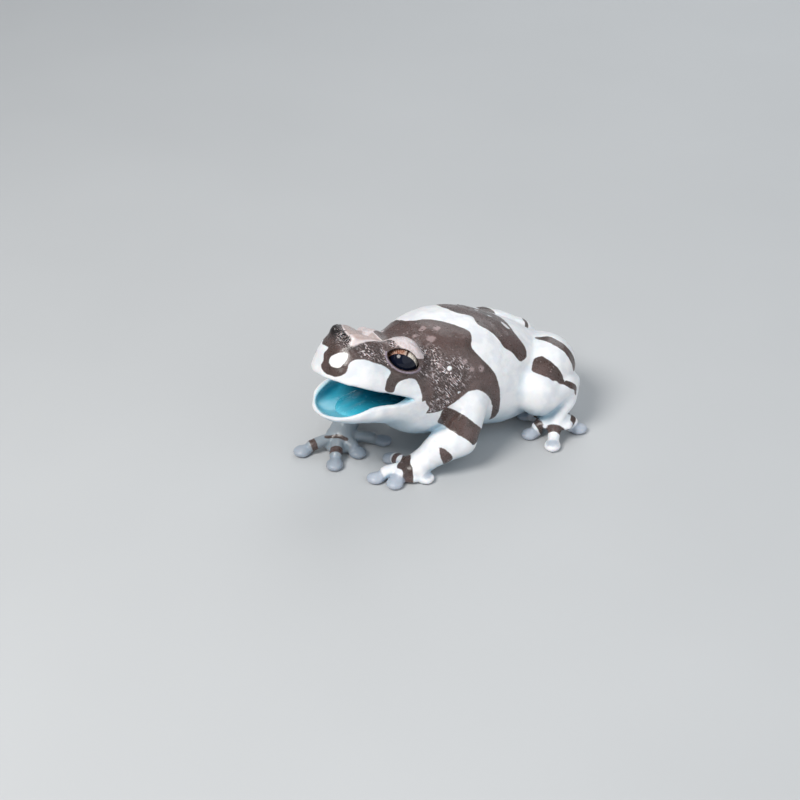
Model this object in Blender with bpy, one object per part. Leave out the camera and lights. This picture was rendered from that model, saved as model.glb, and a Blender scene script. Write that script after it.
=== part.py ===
"""Amazon milk frog, life size, crouched on the floor with its head raised and its mouth open.

The frog faces -Y, its left side is +X and it rests on the plane z = 0. Every size is a length on
a frog of 62 mm from snout to vent, so the whole animal scales with BODY_LENGTH. Each part of the
body is a closed solid of its own: a loft through a few sections, trimmed by its neighbours.
"""
import math

import bmesh
import bpy
import numpy as np
from mathutils import Matrix, Vector

BODY_LENGTH = 0.062
MM = BODY_LENGTH / 62
GAP = 0.3
FLOOR_CENTRE = (-0.1465, 9.1778)

# Trunk: distance back from the ears, height of the middle, half width and half height.
TRUNK = (
    (-8.0, 16.6, 8.3, 7.6),
    (-2.0, 15.6, 10.3, 10.3),
    (5.0, 15.4, 12.2, 12.1),
    (12.0, 14.5, 13.4, 12.4),
    (19.0, 12.2, 13.6, 12.3),
    (26.0, 10.2, 12.4, 10.3),
    (32.0, 8.6, 9.8, 7.9),
    (36.5, 7.0, 6.6, 5.0),
    (39.0, 6.4, 3.2, 2.4),
)
TRUNK_POWER = 2.25
TRUNK_FRONT = (-4.0, -5.0)
TRUNK_END = (36.5, 3.0)
TRUNK_RINGS = 16
TRUNK_SIDES = 20

# Head: the jaws turn about a line through JAW. Angles are yaw to the right, pitch up and roll.
JAW = (0.2, -4.4, 16.8)
HEAD_TURN = (7.0, 27.5, 8.0)
CHIN_TURN = (7.0, -3.0, 8.0)
HEAD_STATIONS = (-6.0, -3.0, 0.0, 5.0, 9.0, 12.0, 15.0, 18.0)
HEAD_WIDTHS = (8.8, 9.5, 9.7, 9.2, 8.7, 8.4, 8.0, 7.6)
HEAD_HEIGHTS = (7.8, 8.0, 8.0, 7.9, 8.2, 9.2, 10.2, 10.2)
HEAD_POWERS = (2.3, 2.6)
HEAD_TIP = (9.0, 9.3)
HEAD_TIP_POWERS = (2.4, 2.4)
LIP_HEIGHT = 0.2
LIP_DROP = 0.7
JAW_STATIONS = (-6.0, 0.0, 5.0, 10.0, 14.0, 18.0)
JAW_WIDTHS = (9.4, 9.7, 9.4, 8.8, 8.4, 8.2)
JAW_DEPTHS = (10.0, 8.6, 5.8, 3.8, 3.2, 3.0)
JAW_POWERS = (2.2, 2.0)
JAW_TIP = (7.0, 9.8)
JAW_TIP_POWERS = (2.2, 2.2)
RIM_RISE = 1.2
RIM_AT = 8.5
RIM_SPREAD = 4.0
RIGHT_RISE = 1.2
RIGHT_RISE_AT = 13.0
RIGHT_RISE_SPREAD = 3.5
PALATE = ((5.5, 0.0, -0.6), (8.6, 7.4, 2.2))
BASIN = ((6.0, 0.0, 0.3), (9.7, 8.3, 2.6))
TONGUE = ((5.6, 0.0, -1.0), (6.2, 4.6, 0.8))
GAPE_REACH = 40.0
GAPE_BACK = 1.0
GAPE_HALF_WIDTH = 16.0
LIP_SHARES = (-1.0, -0.75, -0.4, 0.0, 0.4, 0.75, 1.0)
ARC_POINTS = 11

# Eyes: places forward, left and up of JAW in the head's own directions.
EYE_RADIUS = 3.5
EYES = {"left": (4.4, 6.1, 6.5), "right": (4.4, -5.3, 5.3)}
BROW_RADIUS = 4.4
BROW_INSET = 0.7

ARMS = {
    "left": {
        "shoulder": (9.8, 7.8, 14.4),
        "elbow": (12.9, 3.2, 6.8),
        "wrist": (10.2, -3.8, 3.4),
        "palm": (8.9, -6.6, 2.4),
        "tips": ((2.6, -6.3), (5.9, -13.0), (9.8, -11.2), (12.4, -5.4)),
    },
    "right": {
        "shoulder": (-9.5, 6.0, 14.5),
        "elbow": (-16.3, 1.0, 6.5),
        "wrist": (-9.8, -7.6, 4.4),
        "palm": (-8.4, -11.0, 2.8),
        "tips": ((-3.4, -3.4), (-3.2, -10.2), (-2.9, -16.5), (-11.0, -18.6)),
    },
}
LEGS = {
    "left": {
        "hip": (4.6, 34.0, 10.0),
        "thigh": (10.4, 30.4, 12.2),
        "knee": (14.0, 23.6, 10.2),
        "shin": (15.8, 24.4, 9.8),
        "heel": (14.2, 32.6, 9.0),
        "ball": (16.6, 26.8, 4.8),
        "tips": ((9.4, 30.4), (8.5, 25.6), (14.4, 21.3), (20.5, 22.0), (19.4, 30.6)),
    },
    "right": {
        "hip": (-4.6, 34.0, 9.6),
        "thigh": (-10.0, 29.4, 11.0),
        "knee": (-14.0, 23.4, 9.8),
        "shin": (-15.8, 24.2, 9.6),
        "heel": (-14.2, 32.4, 8.8),
        "ball": (-16.6, 26.6, 4.8),
        "tips": ((-9.4, 30.2), (-8.8, 24.8), (-14.6, 20.8), (-20.8, 22.4), (-20.0, 30.9)),
    },
}

# Limb sections from the body outwards: half widths, then half heights.
UPPER_ARM = ((4.2, 4.4, 4.0, 3.4), (4.2, 4.4, 4.0, 3.4))
FOREARM = ((3.3, 3.5, 2.5), (3.3, 3.3, 2.3))
HAND = ((2.5, 2.9), (2.2, 1.7))
THIGH = ((5.2, 5.2, 4.6), (5.6, 5.8, 5.6))
SHANK = ((3.0, 2.9, 2.4), (3.4, 3.0, 2.4))
FOOT = ((2.1, 1.9, 2.4), (2.0, 1.8, 1.6))
SHOULDER_INSET = 0.8
UPPER_ARM_BOW = 0.3
FOREARM_RISE = 0.6
SHANK_BOW = (1.2, 0.2, 0.9)
HEEL_DROP = 2.0
FOOT_BOW = (1.6, -0.4, 0.4)
CAP_ANGLES = (35, 70)

# Digits: a knuckle arch, a narrow neck and a round pad that is flat on the floor.
DIGIT_RADIUS = 1.35
DIGIT_START = 0.6
KNUCKLE_HEIGHT = 2.0
KNUCKLE_DROP = 0.9
KNUCKLE_RISE = 0.45
NECK_RISE = 0.35
NECK_SHARE = 0.8
PAD_RADIUS = 1.8
PAD_HALF_HEIGHT = 0.95
PAD_CENTRE_HEIGHT = 0.8

FLOOR_SIZE = 90.0
FLOOR_DEPTH = 20.0
SKIN_COLOUR = (0.80, 0.79, 0.78, 1.0)
MOUTH_COLOUR = (0.13, 0.50, 0.62, 1.0)
EYE_COLOUR = (0.012, 0.012, 0.02, 1.0)

for old in list(bpy.data.objects):
    bpy.data.objects.remove(old)


def collection(name):
    """Make a collection in the scene."""
    made = bpy.data.collections.new(name)
    bpy.context.scene.collection.children.link(made)
    return made


frog = collection("amazon_milk_frog")
cutters = collection("cutters")


def material(name, colour, roughness):
    """Make a plain Principled material."""
    made = bpy.data.materials.new(name)
    made.use_nodes = True
    shader = made.node_tree.nodes["Principled BSDF"]
    shader.inputs["Base Color"].default_value = colour
    shader.inputs["Roughness"].default_value = roughness
    return made


def place(name, mesh, home, colour, roughness=0.4):
    """Put a mesh in a collection as an object with its own material."""
    obj = bpy.data.objects.new(name, mesh)
    home.objects.link(obj)
    if home is cutters:
        obj.display_type = "WIRE"
        obj.hide_render = True
    else:
        mesh.materials.append(material(name, colour, roughness))
    return obj


def on_floor(point):
    """Move a point so that the frog's footprint is centred."""
    x, y, z = point
    return Vector((x - FLOOR_CENTRE[0], y - FLOOR_CENTRE[1], z))


def finish(shape, name):
    """Turn a shape in millimetres into a mesh in metres with its faces pointing out."""
    bmesh.ops.recalc_face_normals(shape, faces=shape.faces)
    if shape.calc_volume(signed=True) < 0:
        bmesh.ops.reverse_faces(shape, faces=shape.faces)
    mesh = bpy.data.meshes.new(name)
    shape.to_mesh(mesh)
    shape.free()
    mesh.transform(Matrix.Scale(MM, 4))
    mesh.shade_smooth()
    return mesh


def directions(turn):
    """Give the forward, left and up directions of a head turned by yaw, pitch and roll."""
    yaw, pitch, roll = (math.radians(angle) for angle in turn)
    flat = np.array((-math.sin(yaw), -math.cos(yaw), 0.0))
    left = np.array((math.cos(yaw), -math.sin(yaw), 0.0))
    up = np.array((0.0, 0.0, 1.0))
    forward = math.cos(pitch) * flat + math.sin(pitch) * up
    top = math.cos(pitch) * up - math.sin(pitch) * flat
    return np.array((forward, math.cos(roll) * left + math.sin(roll) * top,
                     math.cos(roll) * top - math.sin(roll) * left))


HEAD = directions(HEAD_TURN)
CHIN = directions(CHIN_TURN)


def in_head(frame, point):
    """Give the place of a point measured forward, left and up of the line of the jaws."""
    return np.array(JAW) + np.array(point) @ frame


def smooth(rows, count):
    """Run a Catmull-Rom curve through rows of numbers."""
    rows = np.array(rows, float)
    rows = np.vstack((2 * rows[0] - rows[1], rows, 2 * rows[-1] - rows[-2]))
    spans = len(rows) - 3
    out = []
    for where in np.linspace(0, spans, count):
        i = min(int(where), spans - 1)
        t = where - i
        a, b, c, d = rows[i:i + 4]
        bend = (2 * a - 5 * b + 4 * c - d) * t**2 + (3 * b - a - 3 * c + d) * t**3
        out.append(0.5 * (2 * b + (c - a) * t + bend))
    return np.array(out)


def along(stations, values, where):
    """Read a smooth profile, given at a few stations, at one place."""
    rows = smooth(np.column_stack((stations, values)), 60)
    return float(np.interp(where, rows[:, 0], rows[:, 1]))


def tip_places(start, depth, count):
    """Give places through a rounded end, closer together towards its tip."""
    return [start + depth * math.sin(angle) for angle in np.linspace(0, 0.94 * math.pi / 2, count + 1)[1:]]


def rounding(past, powers):
    """Give how much of a section is left at a share of the way through a rounded end."""
    return (1 - min(max(past, 0), 1) ** powers[0]) ** (1 / powers[1])


def loft(name, rings, home, colour, roughness=0.4):
    """Join rings of equally many points into one closed solid with a point at each end."""
    shape = bmesh.new()
    rows = [[shape.verts.new(on_floor(point)) for point in ring] for ring in rings]
    ends = [shape.verts.new(on_floor(np.mean(ring, axis=0))) for ring in (rings[0], rings[-1])]
    count = len(rings[0])
    for k in range(count):
        n = (k + 1) % count
        for low, high in zip(rows, rows[1:]):
            shape.faces.new((low[k], low[n], high[n], high[k]))
        shape.faces.new((ends[0], rows[0][n], rows[0][k]))
        shape.faces.new((ends[1], rows[-1][k], rows[-1][n]))
    return place(name, finish(shape, name), home, colour, roughness)


def ball(name, centre, radii, frame, home, colour=SKIN_COLOUR, roughness=0.4, segments=12):
    """Make an ellipsoid whose axes lie along a frame's directions."""
    shape = bmesh.new()
    bmesh.ops.create_uvsphere(shape, u_segments=segments, v_segments=segments // 2 + 1, radius=1)
    for vertex in shape.verts:
        vertex.co = on_floor(centre + (np.array(vertex.co) * radii) @ frame)
    return place(name, finish(shape, name), home, colour, roughness)


def trim(obj, cutter, operation="DIFFERENCE"):
    """Cut or join an object with another."""
    cut = obj.modifiers.new(cutter.name, "BOOLEAN")
    cut.operation = operation
    cut.solver = "EXACT"
    cut.object = cutter


def drop_slivers(obj):
    """Bake an object's cuts and drop the thin offcuts that lie along a neighbour's facets."""
    depsgraph = bpy.context.evaluated_depsgraph_get()
    shape = bmesh.new()
    shape.from_mesh(obj.evaluated_get(depsgraph).to_mesh())
    waiting = set(shape.faces)
    bodies = []
    while waiting:
        body = [waiting.pop()]
        for face in body:
            joined = {other for edge in face.edges for other in edge.link_faces} & waiting
            waiting -= joined
            body.extend(joined)
        bodies.append(body)
    bodies.sort(key=len)
    offcuts = [face for body in bodies[:-1] for face in body]
    bmesh.ops.delete(shape, geom=offcuts, context="FACES")
    obj.modifiers.clear()
    shape.to_mesh(obj.data)
    shape.free()


def ellipse(centre, side, up, half_side, half_up, power, count):
    """Give a ring of points round a superellipse."""
    ring = []
    for angle in np.linspace(0, 2 * math.pi, count, endpoint=False):
        c, s = math.cos(angle), math.sin(angle)
        across = math.copysign(abs(c) ** (2 / power), c) * half_side
        above = math.copysign(abs(s) ** (2 / power), s) * half_up
        ring.append(centre + side * across + up * above)
    return ring


def limb(name, points, sections, home, grow=0.0, sides=10, rows=3):
    """Make a limb with elliptical sections and round ends along a smooth path."""
    path = smooth(np.column_stack((points, *sections)), rows * (len(points) - 1) + 1)
    back = [-angle for angle in reversed(CAP_ANGLES)]
    rings = []
    up = np.array((0.0, 0.0, 1.0))
    last = len(path) - 1
    for k, row in enumerate(path):
        axis = path[min(k + 1, last), :3] - path[max(k - 1, 0), :3]
        axis /= np.linalg.norm(axis)
        side = np.cross(axis, up)
        side /= np.linalg.norm(side)
        top = np.cross(side, axis)
        wide, tall = row[3] + grow, row[4] + grow
        cap = min(wide, tall)
        turns = {0: (*back, 0), last: (0, *CAP_ANGLES)}.get(k, (0,))
        for turn in turns:
            bend = math.radians(turn)
            centre = row[:3] + axis * cap * math.sin(bend)
            shrink = math.cos(bend)
            rings.append(ellipse(centre, side, top, wide * shrink, tall * shrink, 2.0, sides))
    return loft(name, rings, home, SKIN_COLOUR)


def digit(name, palm, tip, home, grow=0.0):
    """Make a finger or toe that arches down to a flat round pad on the floor."""
    reach = np.array((tip[0] - palm[0], tip[1] - palm[1], 0.0))
    reach /= np.linalg.norm(reach)
    height = max(KNUCKLE_HEIGHT, palm[2] - KNUCKLE_DROP)
    start = np.array((palm[0], palm[1], height)) + reach * DIGIT_START
    middle = np.array((tip[0], tip[1], PAD_CENTRE_HEIGHT))
    neck = middle + (0, 0, NECK_RISE) - reach * PAD_RADIUS * 1.05
    knuckle = (start + neck) / 2 + (0, 0, KNUCKLE_RISE)
    pad = middle - reach * PAD_RADIUS * 0.1
    front = middle + reach * PAD_RADIUS * 0.35
    wide = (DIGIT_RADIUS, DIGIT_RADIUS, DIGIT_RADIUS * NECK_SHARE, PAD_RADIUS, PAD_RADIUS * 0.8)
    tall = (DIGIT_RADIUS, DIGIT_RADIUS, DIGIT_RADIUS * NECK_SHARE, PAD_HALF_HEIGHT, PAD_HALF_HEIGHT * 0.9)
    points = (start, knuckle, neck, pad, front)
    return limb(name, points, (wide, tall), home, grow, sides=8, rows=1)


def trunk_solid(name, home, grow=0.0):
    """Loft the trunk from the throat to the vent."""
    table = smooth(TRUNK, 60)
    start, front_depth = TRUNK_FRONT
    end, end_depth = TRUNK_END
    front_depth -= grow
    end_depth += grow
    side = np.array((1.0, 0.0, 0.0))
    up = np.array((0.0, 0.0, 1.0))
    front = tip_places(start, front_depth, 5)
    tail = tip_places(end, end_depth, 5)
    rings = []
    for y in (*reversed(front), *np.linspace(start, end, TRUNK_RINGS), *tail):
        height, wide, tall = (float(np.interp(y, table[:, 0], table[:, n])) for n in (1, 2, 3))
        past = max((y - start) / front_depth, (y - end) / end_depth)
        left = rounding(past, (TRUNK_POWER, TRUNK_POWER))
        rings.append(ellipse(np.array((0.0, y, height)), side, up, (wide + grow) * left,
                             (tall + grow) * left, TRUNK_POWER, TRUNK_SIDES))
    return loft(name, rings, home, SKIN_COLOUR)


def half_section(frame, forward, wide, tall, powers, edge):
    """Give a ring: an arc round half a superellipse, closed along the function edge."""
    places = []
    for angle in np.linspace(0, math.pi, ARC_POINTS)[1:-1]:
        c, s = math.cos(angle), math.sin(angle)
        places.append((math.copysign(abs(c) ** (2 / powers[0]), c) * wide, s ** (2 / powers[1]) * tall))
    for share in LIP_SHARES:
        places.append((share * wide, edge(share * wide)))
    return [in_head(frame, (forward, across, above)) for across, above in places]


def head_solid(name, home, grow=0.0):
    """Loft the upper jaw, snout and skull."""
    rings = []
    tip_start, tip_depth = HEAD_TIP
    for forward in (*np.linspace(HEAD_STATIONS[0], tip_start, 7), *tip_places(tip_start, tip_depth, 6)):
        past = (forward - tip_start) / tip_depth
        left = rounding(past, HEAD_TIP_POWERS)
        wide = along(HEAD_STATIONS, HEAD_WIDTHS, forward) * left
        tall = along(HEAD_STATIONS, HEAD_HEIGHTS, forward) * left
        lip = -LIP_HEIGHT - grow - LIP_DROP * max(forward / HEAD_STATIONS[-1], 0) ** 3
        rings.append(half_section(HEAD, forward + grow * max(past, 0), wide + grow, tall + grow,
                                  HEAD_POWERS, lambda across, lip=lip: lip))
    return loft(name, rings, home, SKIN_COLOUR)


def rim(forward, across):
    """Give the height of the lower lip above the plane of the jaw: more on its right front."""
    swell = RIM_RISE * math.exp(-((forward - RIM_AT) / RIM_SPREAD) ** 2)
    right = RIGHT_RISE * math.exp(-((forward - RIGHT_RISE_AT) / RIGHT_RISE_SPREAD) ** 2)
    return swell * min(abs(across) / 6, 1) + right * min(max(-across / 6, 0), 1)


def jaw_solid(name, home, grow=0.0):
    """Loft the lower jaw and throat."""
    rings = []
    tip_start, tip_depth = JAW_TIP
    for forward in (*np.linspace(JAW_STATIONS[0], tip_start, 6), *tip_places(tip_start, tip_depth, 6)):
        left = rounding((forward - tip_start) / tip_depth, JAW_TIP_POWERS)
        wide = along(JAW_STATIONS, JAW_WIDTHS, forward) * left
        deep = along(JAW_STATIONS, JAW_DEPTHS, forward) * left
        rings.append(half_section(CHIN, forward, wide + grow, -deep - grow, JAW_POWERS,
                                  lambda across, at=forward: LIP_HEIGHT + grow + rim(at, across)))
    return loft(name, rings, home, SKIN_COLOUR)


def gape_wedge():
    """Make the wedge of open mouth between the lips."""
    shape = bmesh.new()
    bmesh.ops.create_cube(shape, size=2)
    for vertex in shape.verts:
        forward, across, above = vertex.co
        if forward < 0:
            corner = in_head(CHIN, (-GAPE_BACK, across * GAPE_HALF_WIDTH, 0.25 * above))
        elif above > 0:
            corner = in_head(HEAD, (GAPE_REACH, across * GAPE_HALF_WIDTH, -LIP_DROP))
        else:
            corner = in_head(CHIN, (GAPE_REACH, across * GAPE_HALF_WIDTH, RIM_RISE))
        vertex.co = on_floor(corner)
    return place("gape", finish(shape, "gape"), cutters, SKIN_COLOUR)


def floor_block():
    """Make the block under the floor that gives the feet and belly their flats."""
    shape = bmesh.new()
    bmesh.ops.create_cube(shape, size=1)
    for vertex in shape.verts:
        x, y, z = vertex.co
        vertex.co = Vector((x * FLOOR_SIZE, y * FLOOR_SIZE, (z - 0.5) * FLOOR_DEPTH))
    return place("floor", finish(shape, "floor"), cutters, SKIN_COLOUR)


floor = floor_block()
gape = gape_wedge()


def add_head():
    """Build the trunk, head, lower jaw, tongue and eyes."""
    trunk = trunk_solid("trunk", frog)
    trunk_space = trunk_solid("trunk_space", cutters, GAP)
    trim(trunk, gape)
    trim(trunk, floor)
    head = head_solid("head", frog)
    for side, spot in EYES.items():
        sign = math.copysign(1, spot[1])
        inward = in_head(HEAD, (spot[0], spot[1] - BROW_INSET * sign, spot[2]))
        brow = ball("brow_" + side, inward, (BROW_RADIUS,) * 3, HEAD, cutters)
        trim(head, brow, "UNION")
    for side, spot in EYES.items():
        centre = in_head(HEAD, spot)
        ball("eye_" + side, centre, (EYE_RADIUS,) * 3, HEAD, frog, EYE_COLOUR, 0.05, 14)
        socket = ball("socket_" + side, centre, (EYE_RADIUS + GAP,) * 3, HEAD, cutters, segments=14)
        trim(head, socket)
        trim(trunk, socket)
    palate = ball("palate", in_head(HEAD, PALATE[0]), PALATE[1], HEAD, cutters, segments=14)
    basin = ball("basin", in_head(CHIN, BASIN[0]), BASIN[1], CHIN, cutters, segments=14)
    trim(head, palate)
    trim(trunk, palate)
    trim(trunk, basin)
    trim(head, trunk_space)
    drop_slivers(head)
    jaw = jaw_solid("lower_jaw", frog)
    trim(jaw, basin)
    trim(jaw, head_solid("head_space", cutters, GAP))
    trim(jaw, trunk_space)
    ball("tongue", in_head(CHIN, TONGUE[0]), TONGUE[1], CHIN, frog, MOUTH_COLOUR, 0.2)
    return trunk_space


def add_digits(kind, side, limb_end, tips, spaces):
    """Build the fingers or toes of one foot, each clear of the ones before it."""
    before = list(spaces)
    for number, tip in enumerate(tips, 1):
        name = f"{kind}_{side}_{number}"
        finger = digit(name, limb_end, tip, frog)
        for space in before:
            trim(finger, space)
        trim(finger, floor)
        before.append(digit(name + "_space", limb_end, tip, cutters, GAP))


def add_limb(side, shapes, trunk_space):
    """Build the lengths of one limb, each clear of the trunk and of the lengths before it."""
    spaces = [trunk_space]
    for name, points, sections in shapes:
        part = limb(name + side, points, sections, frog)
        for space in spaces:
            trim(part, space)
        trim(part, floor)
        spaces.append(limb(name + side + "_space", points, sections, cutters, GAP))
    return spaces


def add_arm(side, trunk_space):
    """Build one arm from shoulder to fingertips."""
    arm = ARMS[side]
    shoulder, elbow, wrist, palm = (np.array(arm[k]) for k in ("shoulder", "elbow", "wrist", "palm"))
    outward = math.copysign(1, elbow[0])
    bow = (shoulder + elbow) / 2 + (UPPER_ARM_BOW * outward, 0, 0)
    middle = (elbow + wrist) / 2 + (0, 0, FOREARM_RISE)
    spaces = add_limb(side, (
        ("upper_arm_", (shoulder * (SHOULDER_INSET, 1, 1), shoulder, bow, elbow), UPPER_ARM),
        ("forearm_", (elbow, middle, wrist), FOREARM),
        ("hand_", (wrist, palm), HAND),
    ), trunk_space)
    add_digits("finger", side, palm, arm["tips"], spaces[1:])


def add_leg(side, trunk_space):
    """Build one folded hind leg from hip to toes."""
    leg = LEGS[side]
    hip, mid, knee, shin, heel, sole = (np.array(leg[k]) for k in
                                        ("hip", "thigh", "knee", "shin", "heel", "ball"))
    mirror = np.array((math.copysign(1, knee[0]), 1, 1))
    calf = (shin + heel) / 2 + mirror * SHANK_BOW
    arch = (heel + sole) / 2 + mirror * FOOT_BOW
    spaces = add_limb(side, (
        ("thigh_", (hip, mid, knee), THIGH),
        ("shank_", (shin, calf, heel), SHANK),
        ("foot_", (heel - (0, 0, HEEL_DROP), arch, sole), FOOT),
    ), trunk_space)
    add_digits("toe", side, sole, leg["tips"], spaces)


body_space = add_head()
for which in ("left", "right"):
    add_arm(which, body_space)
    add_leg(which, body_space)
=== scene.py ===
import math

import bpy
import numpy as np
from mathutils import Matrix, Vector, noise


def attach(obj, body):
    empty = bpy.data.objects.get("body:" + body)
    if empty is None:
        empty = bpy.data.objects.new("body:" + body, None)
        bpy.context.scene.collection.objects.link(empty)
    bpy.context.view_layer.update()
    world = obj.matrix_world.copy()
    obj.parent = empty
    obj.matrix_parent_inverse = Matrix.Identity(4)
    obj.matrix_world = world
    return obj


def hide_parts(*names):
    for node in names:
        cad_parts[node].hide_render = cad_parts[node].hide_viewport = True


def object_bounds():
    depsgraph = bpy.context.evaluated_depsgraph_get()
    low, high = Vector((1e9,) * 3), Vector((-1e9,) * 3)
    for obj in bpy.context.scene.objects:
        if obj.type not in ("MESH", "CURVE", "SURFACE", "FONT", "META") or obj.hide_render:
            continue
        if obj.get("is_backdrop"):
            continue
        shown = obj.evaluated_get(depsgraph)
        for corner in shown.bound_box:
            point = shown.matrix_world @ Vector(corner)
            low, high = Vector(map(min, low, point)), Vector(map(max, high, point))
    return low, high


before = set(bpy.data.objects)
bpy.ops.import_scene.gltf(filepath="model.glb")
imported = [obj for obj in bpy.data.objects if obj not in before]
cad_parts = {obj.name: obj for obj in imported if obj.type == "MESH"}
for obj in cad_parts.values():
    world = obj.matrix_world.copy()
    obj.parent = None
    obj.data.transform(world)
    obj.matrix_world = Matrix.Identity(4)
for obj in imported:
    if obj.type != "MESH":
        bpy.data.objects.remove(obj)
cad_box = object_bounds()

# --- Skin: the form -------------------------------------------------------------------------
# An amazon milk frog of 62 mm from snout to vent. One moist hide runs without a seam over head,
# trunk, limbs and digits and turns in at the lips as the lining of the mouth. It is modelled as a
# block of clay, in millimetres: parts are blended on, the mouth and the eye sockets are cut out.

MM = 0.001
# The middle of the frog on the floor, in the clay's own millimetres.
FLOOR_CENTRE = (-0.1465, 9.1778, 0.0)

# The grid of the block: where each band of even spacing starts, and its spacing.
GRID_X = ((-24.5, 0.53), (-10.4, 0.265), (11.0, 0.53), (24.8, 0.53))
GRID_Y = ((-22.4, 0.265), (-1.0, 0.53), (41.0, 0.53))
GRID_Z = ((-0.9, 0.38), (5.0, 0.52), (13.4, 0.265), (32.6, 0.265))


def smooth(rows, count):
    """Run a Catmull-Rom curve through rows of numbers."""
    rows = np.array(rows, float)
    rows = np.vstack((2 * rows[0] - rows[1], rows, 2 * rows[-1] - rows[-2]))
    where = np.linspace(0, len(rows) - 3 - 1e-9, count)
    span = where.astype(int)
    t = (where - span)[:, None]
    a, b, c, d = (rows[span + n] for n in range(4))
    bend = (2 * a - 5 * b + 4 * c - d) * t**2 + (3 * b - a - 3 * c + d) * t**3
    return 0.5 * (2 * b + (c - a) * t + bend)


def profile(table, where, count=80):
    """Read a smooth profile, given as pairs of place and value, at many places."""
    rows = smooth(table, count)
    return np.interp(where, rows[:, 0], rows[:, 1])


def soft_min(a, b, blend):
    """Give the smaller of two distances, rounded over the blend's width where they meet."""
    share = np.maximum(blend - np.abs(a - b), 0) / blend
    return np.minimum(a, b) - share * share * blend / 4


def soft_max(a, b, blend):
    """Give the larger of two distances, rounded over the blend's width where they meet."""
    return -soft_min(-a, -b, blend)


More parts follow.
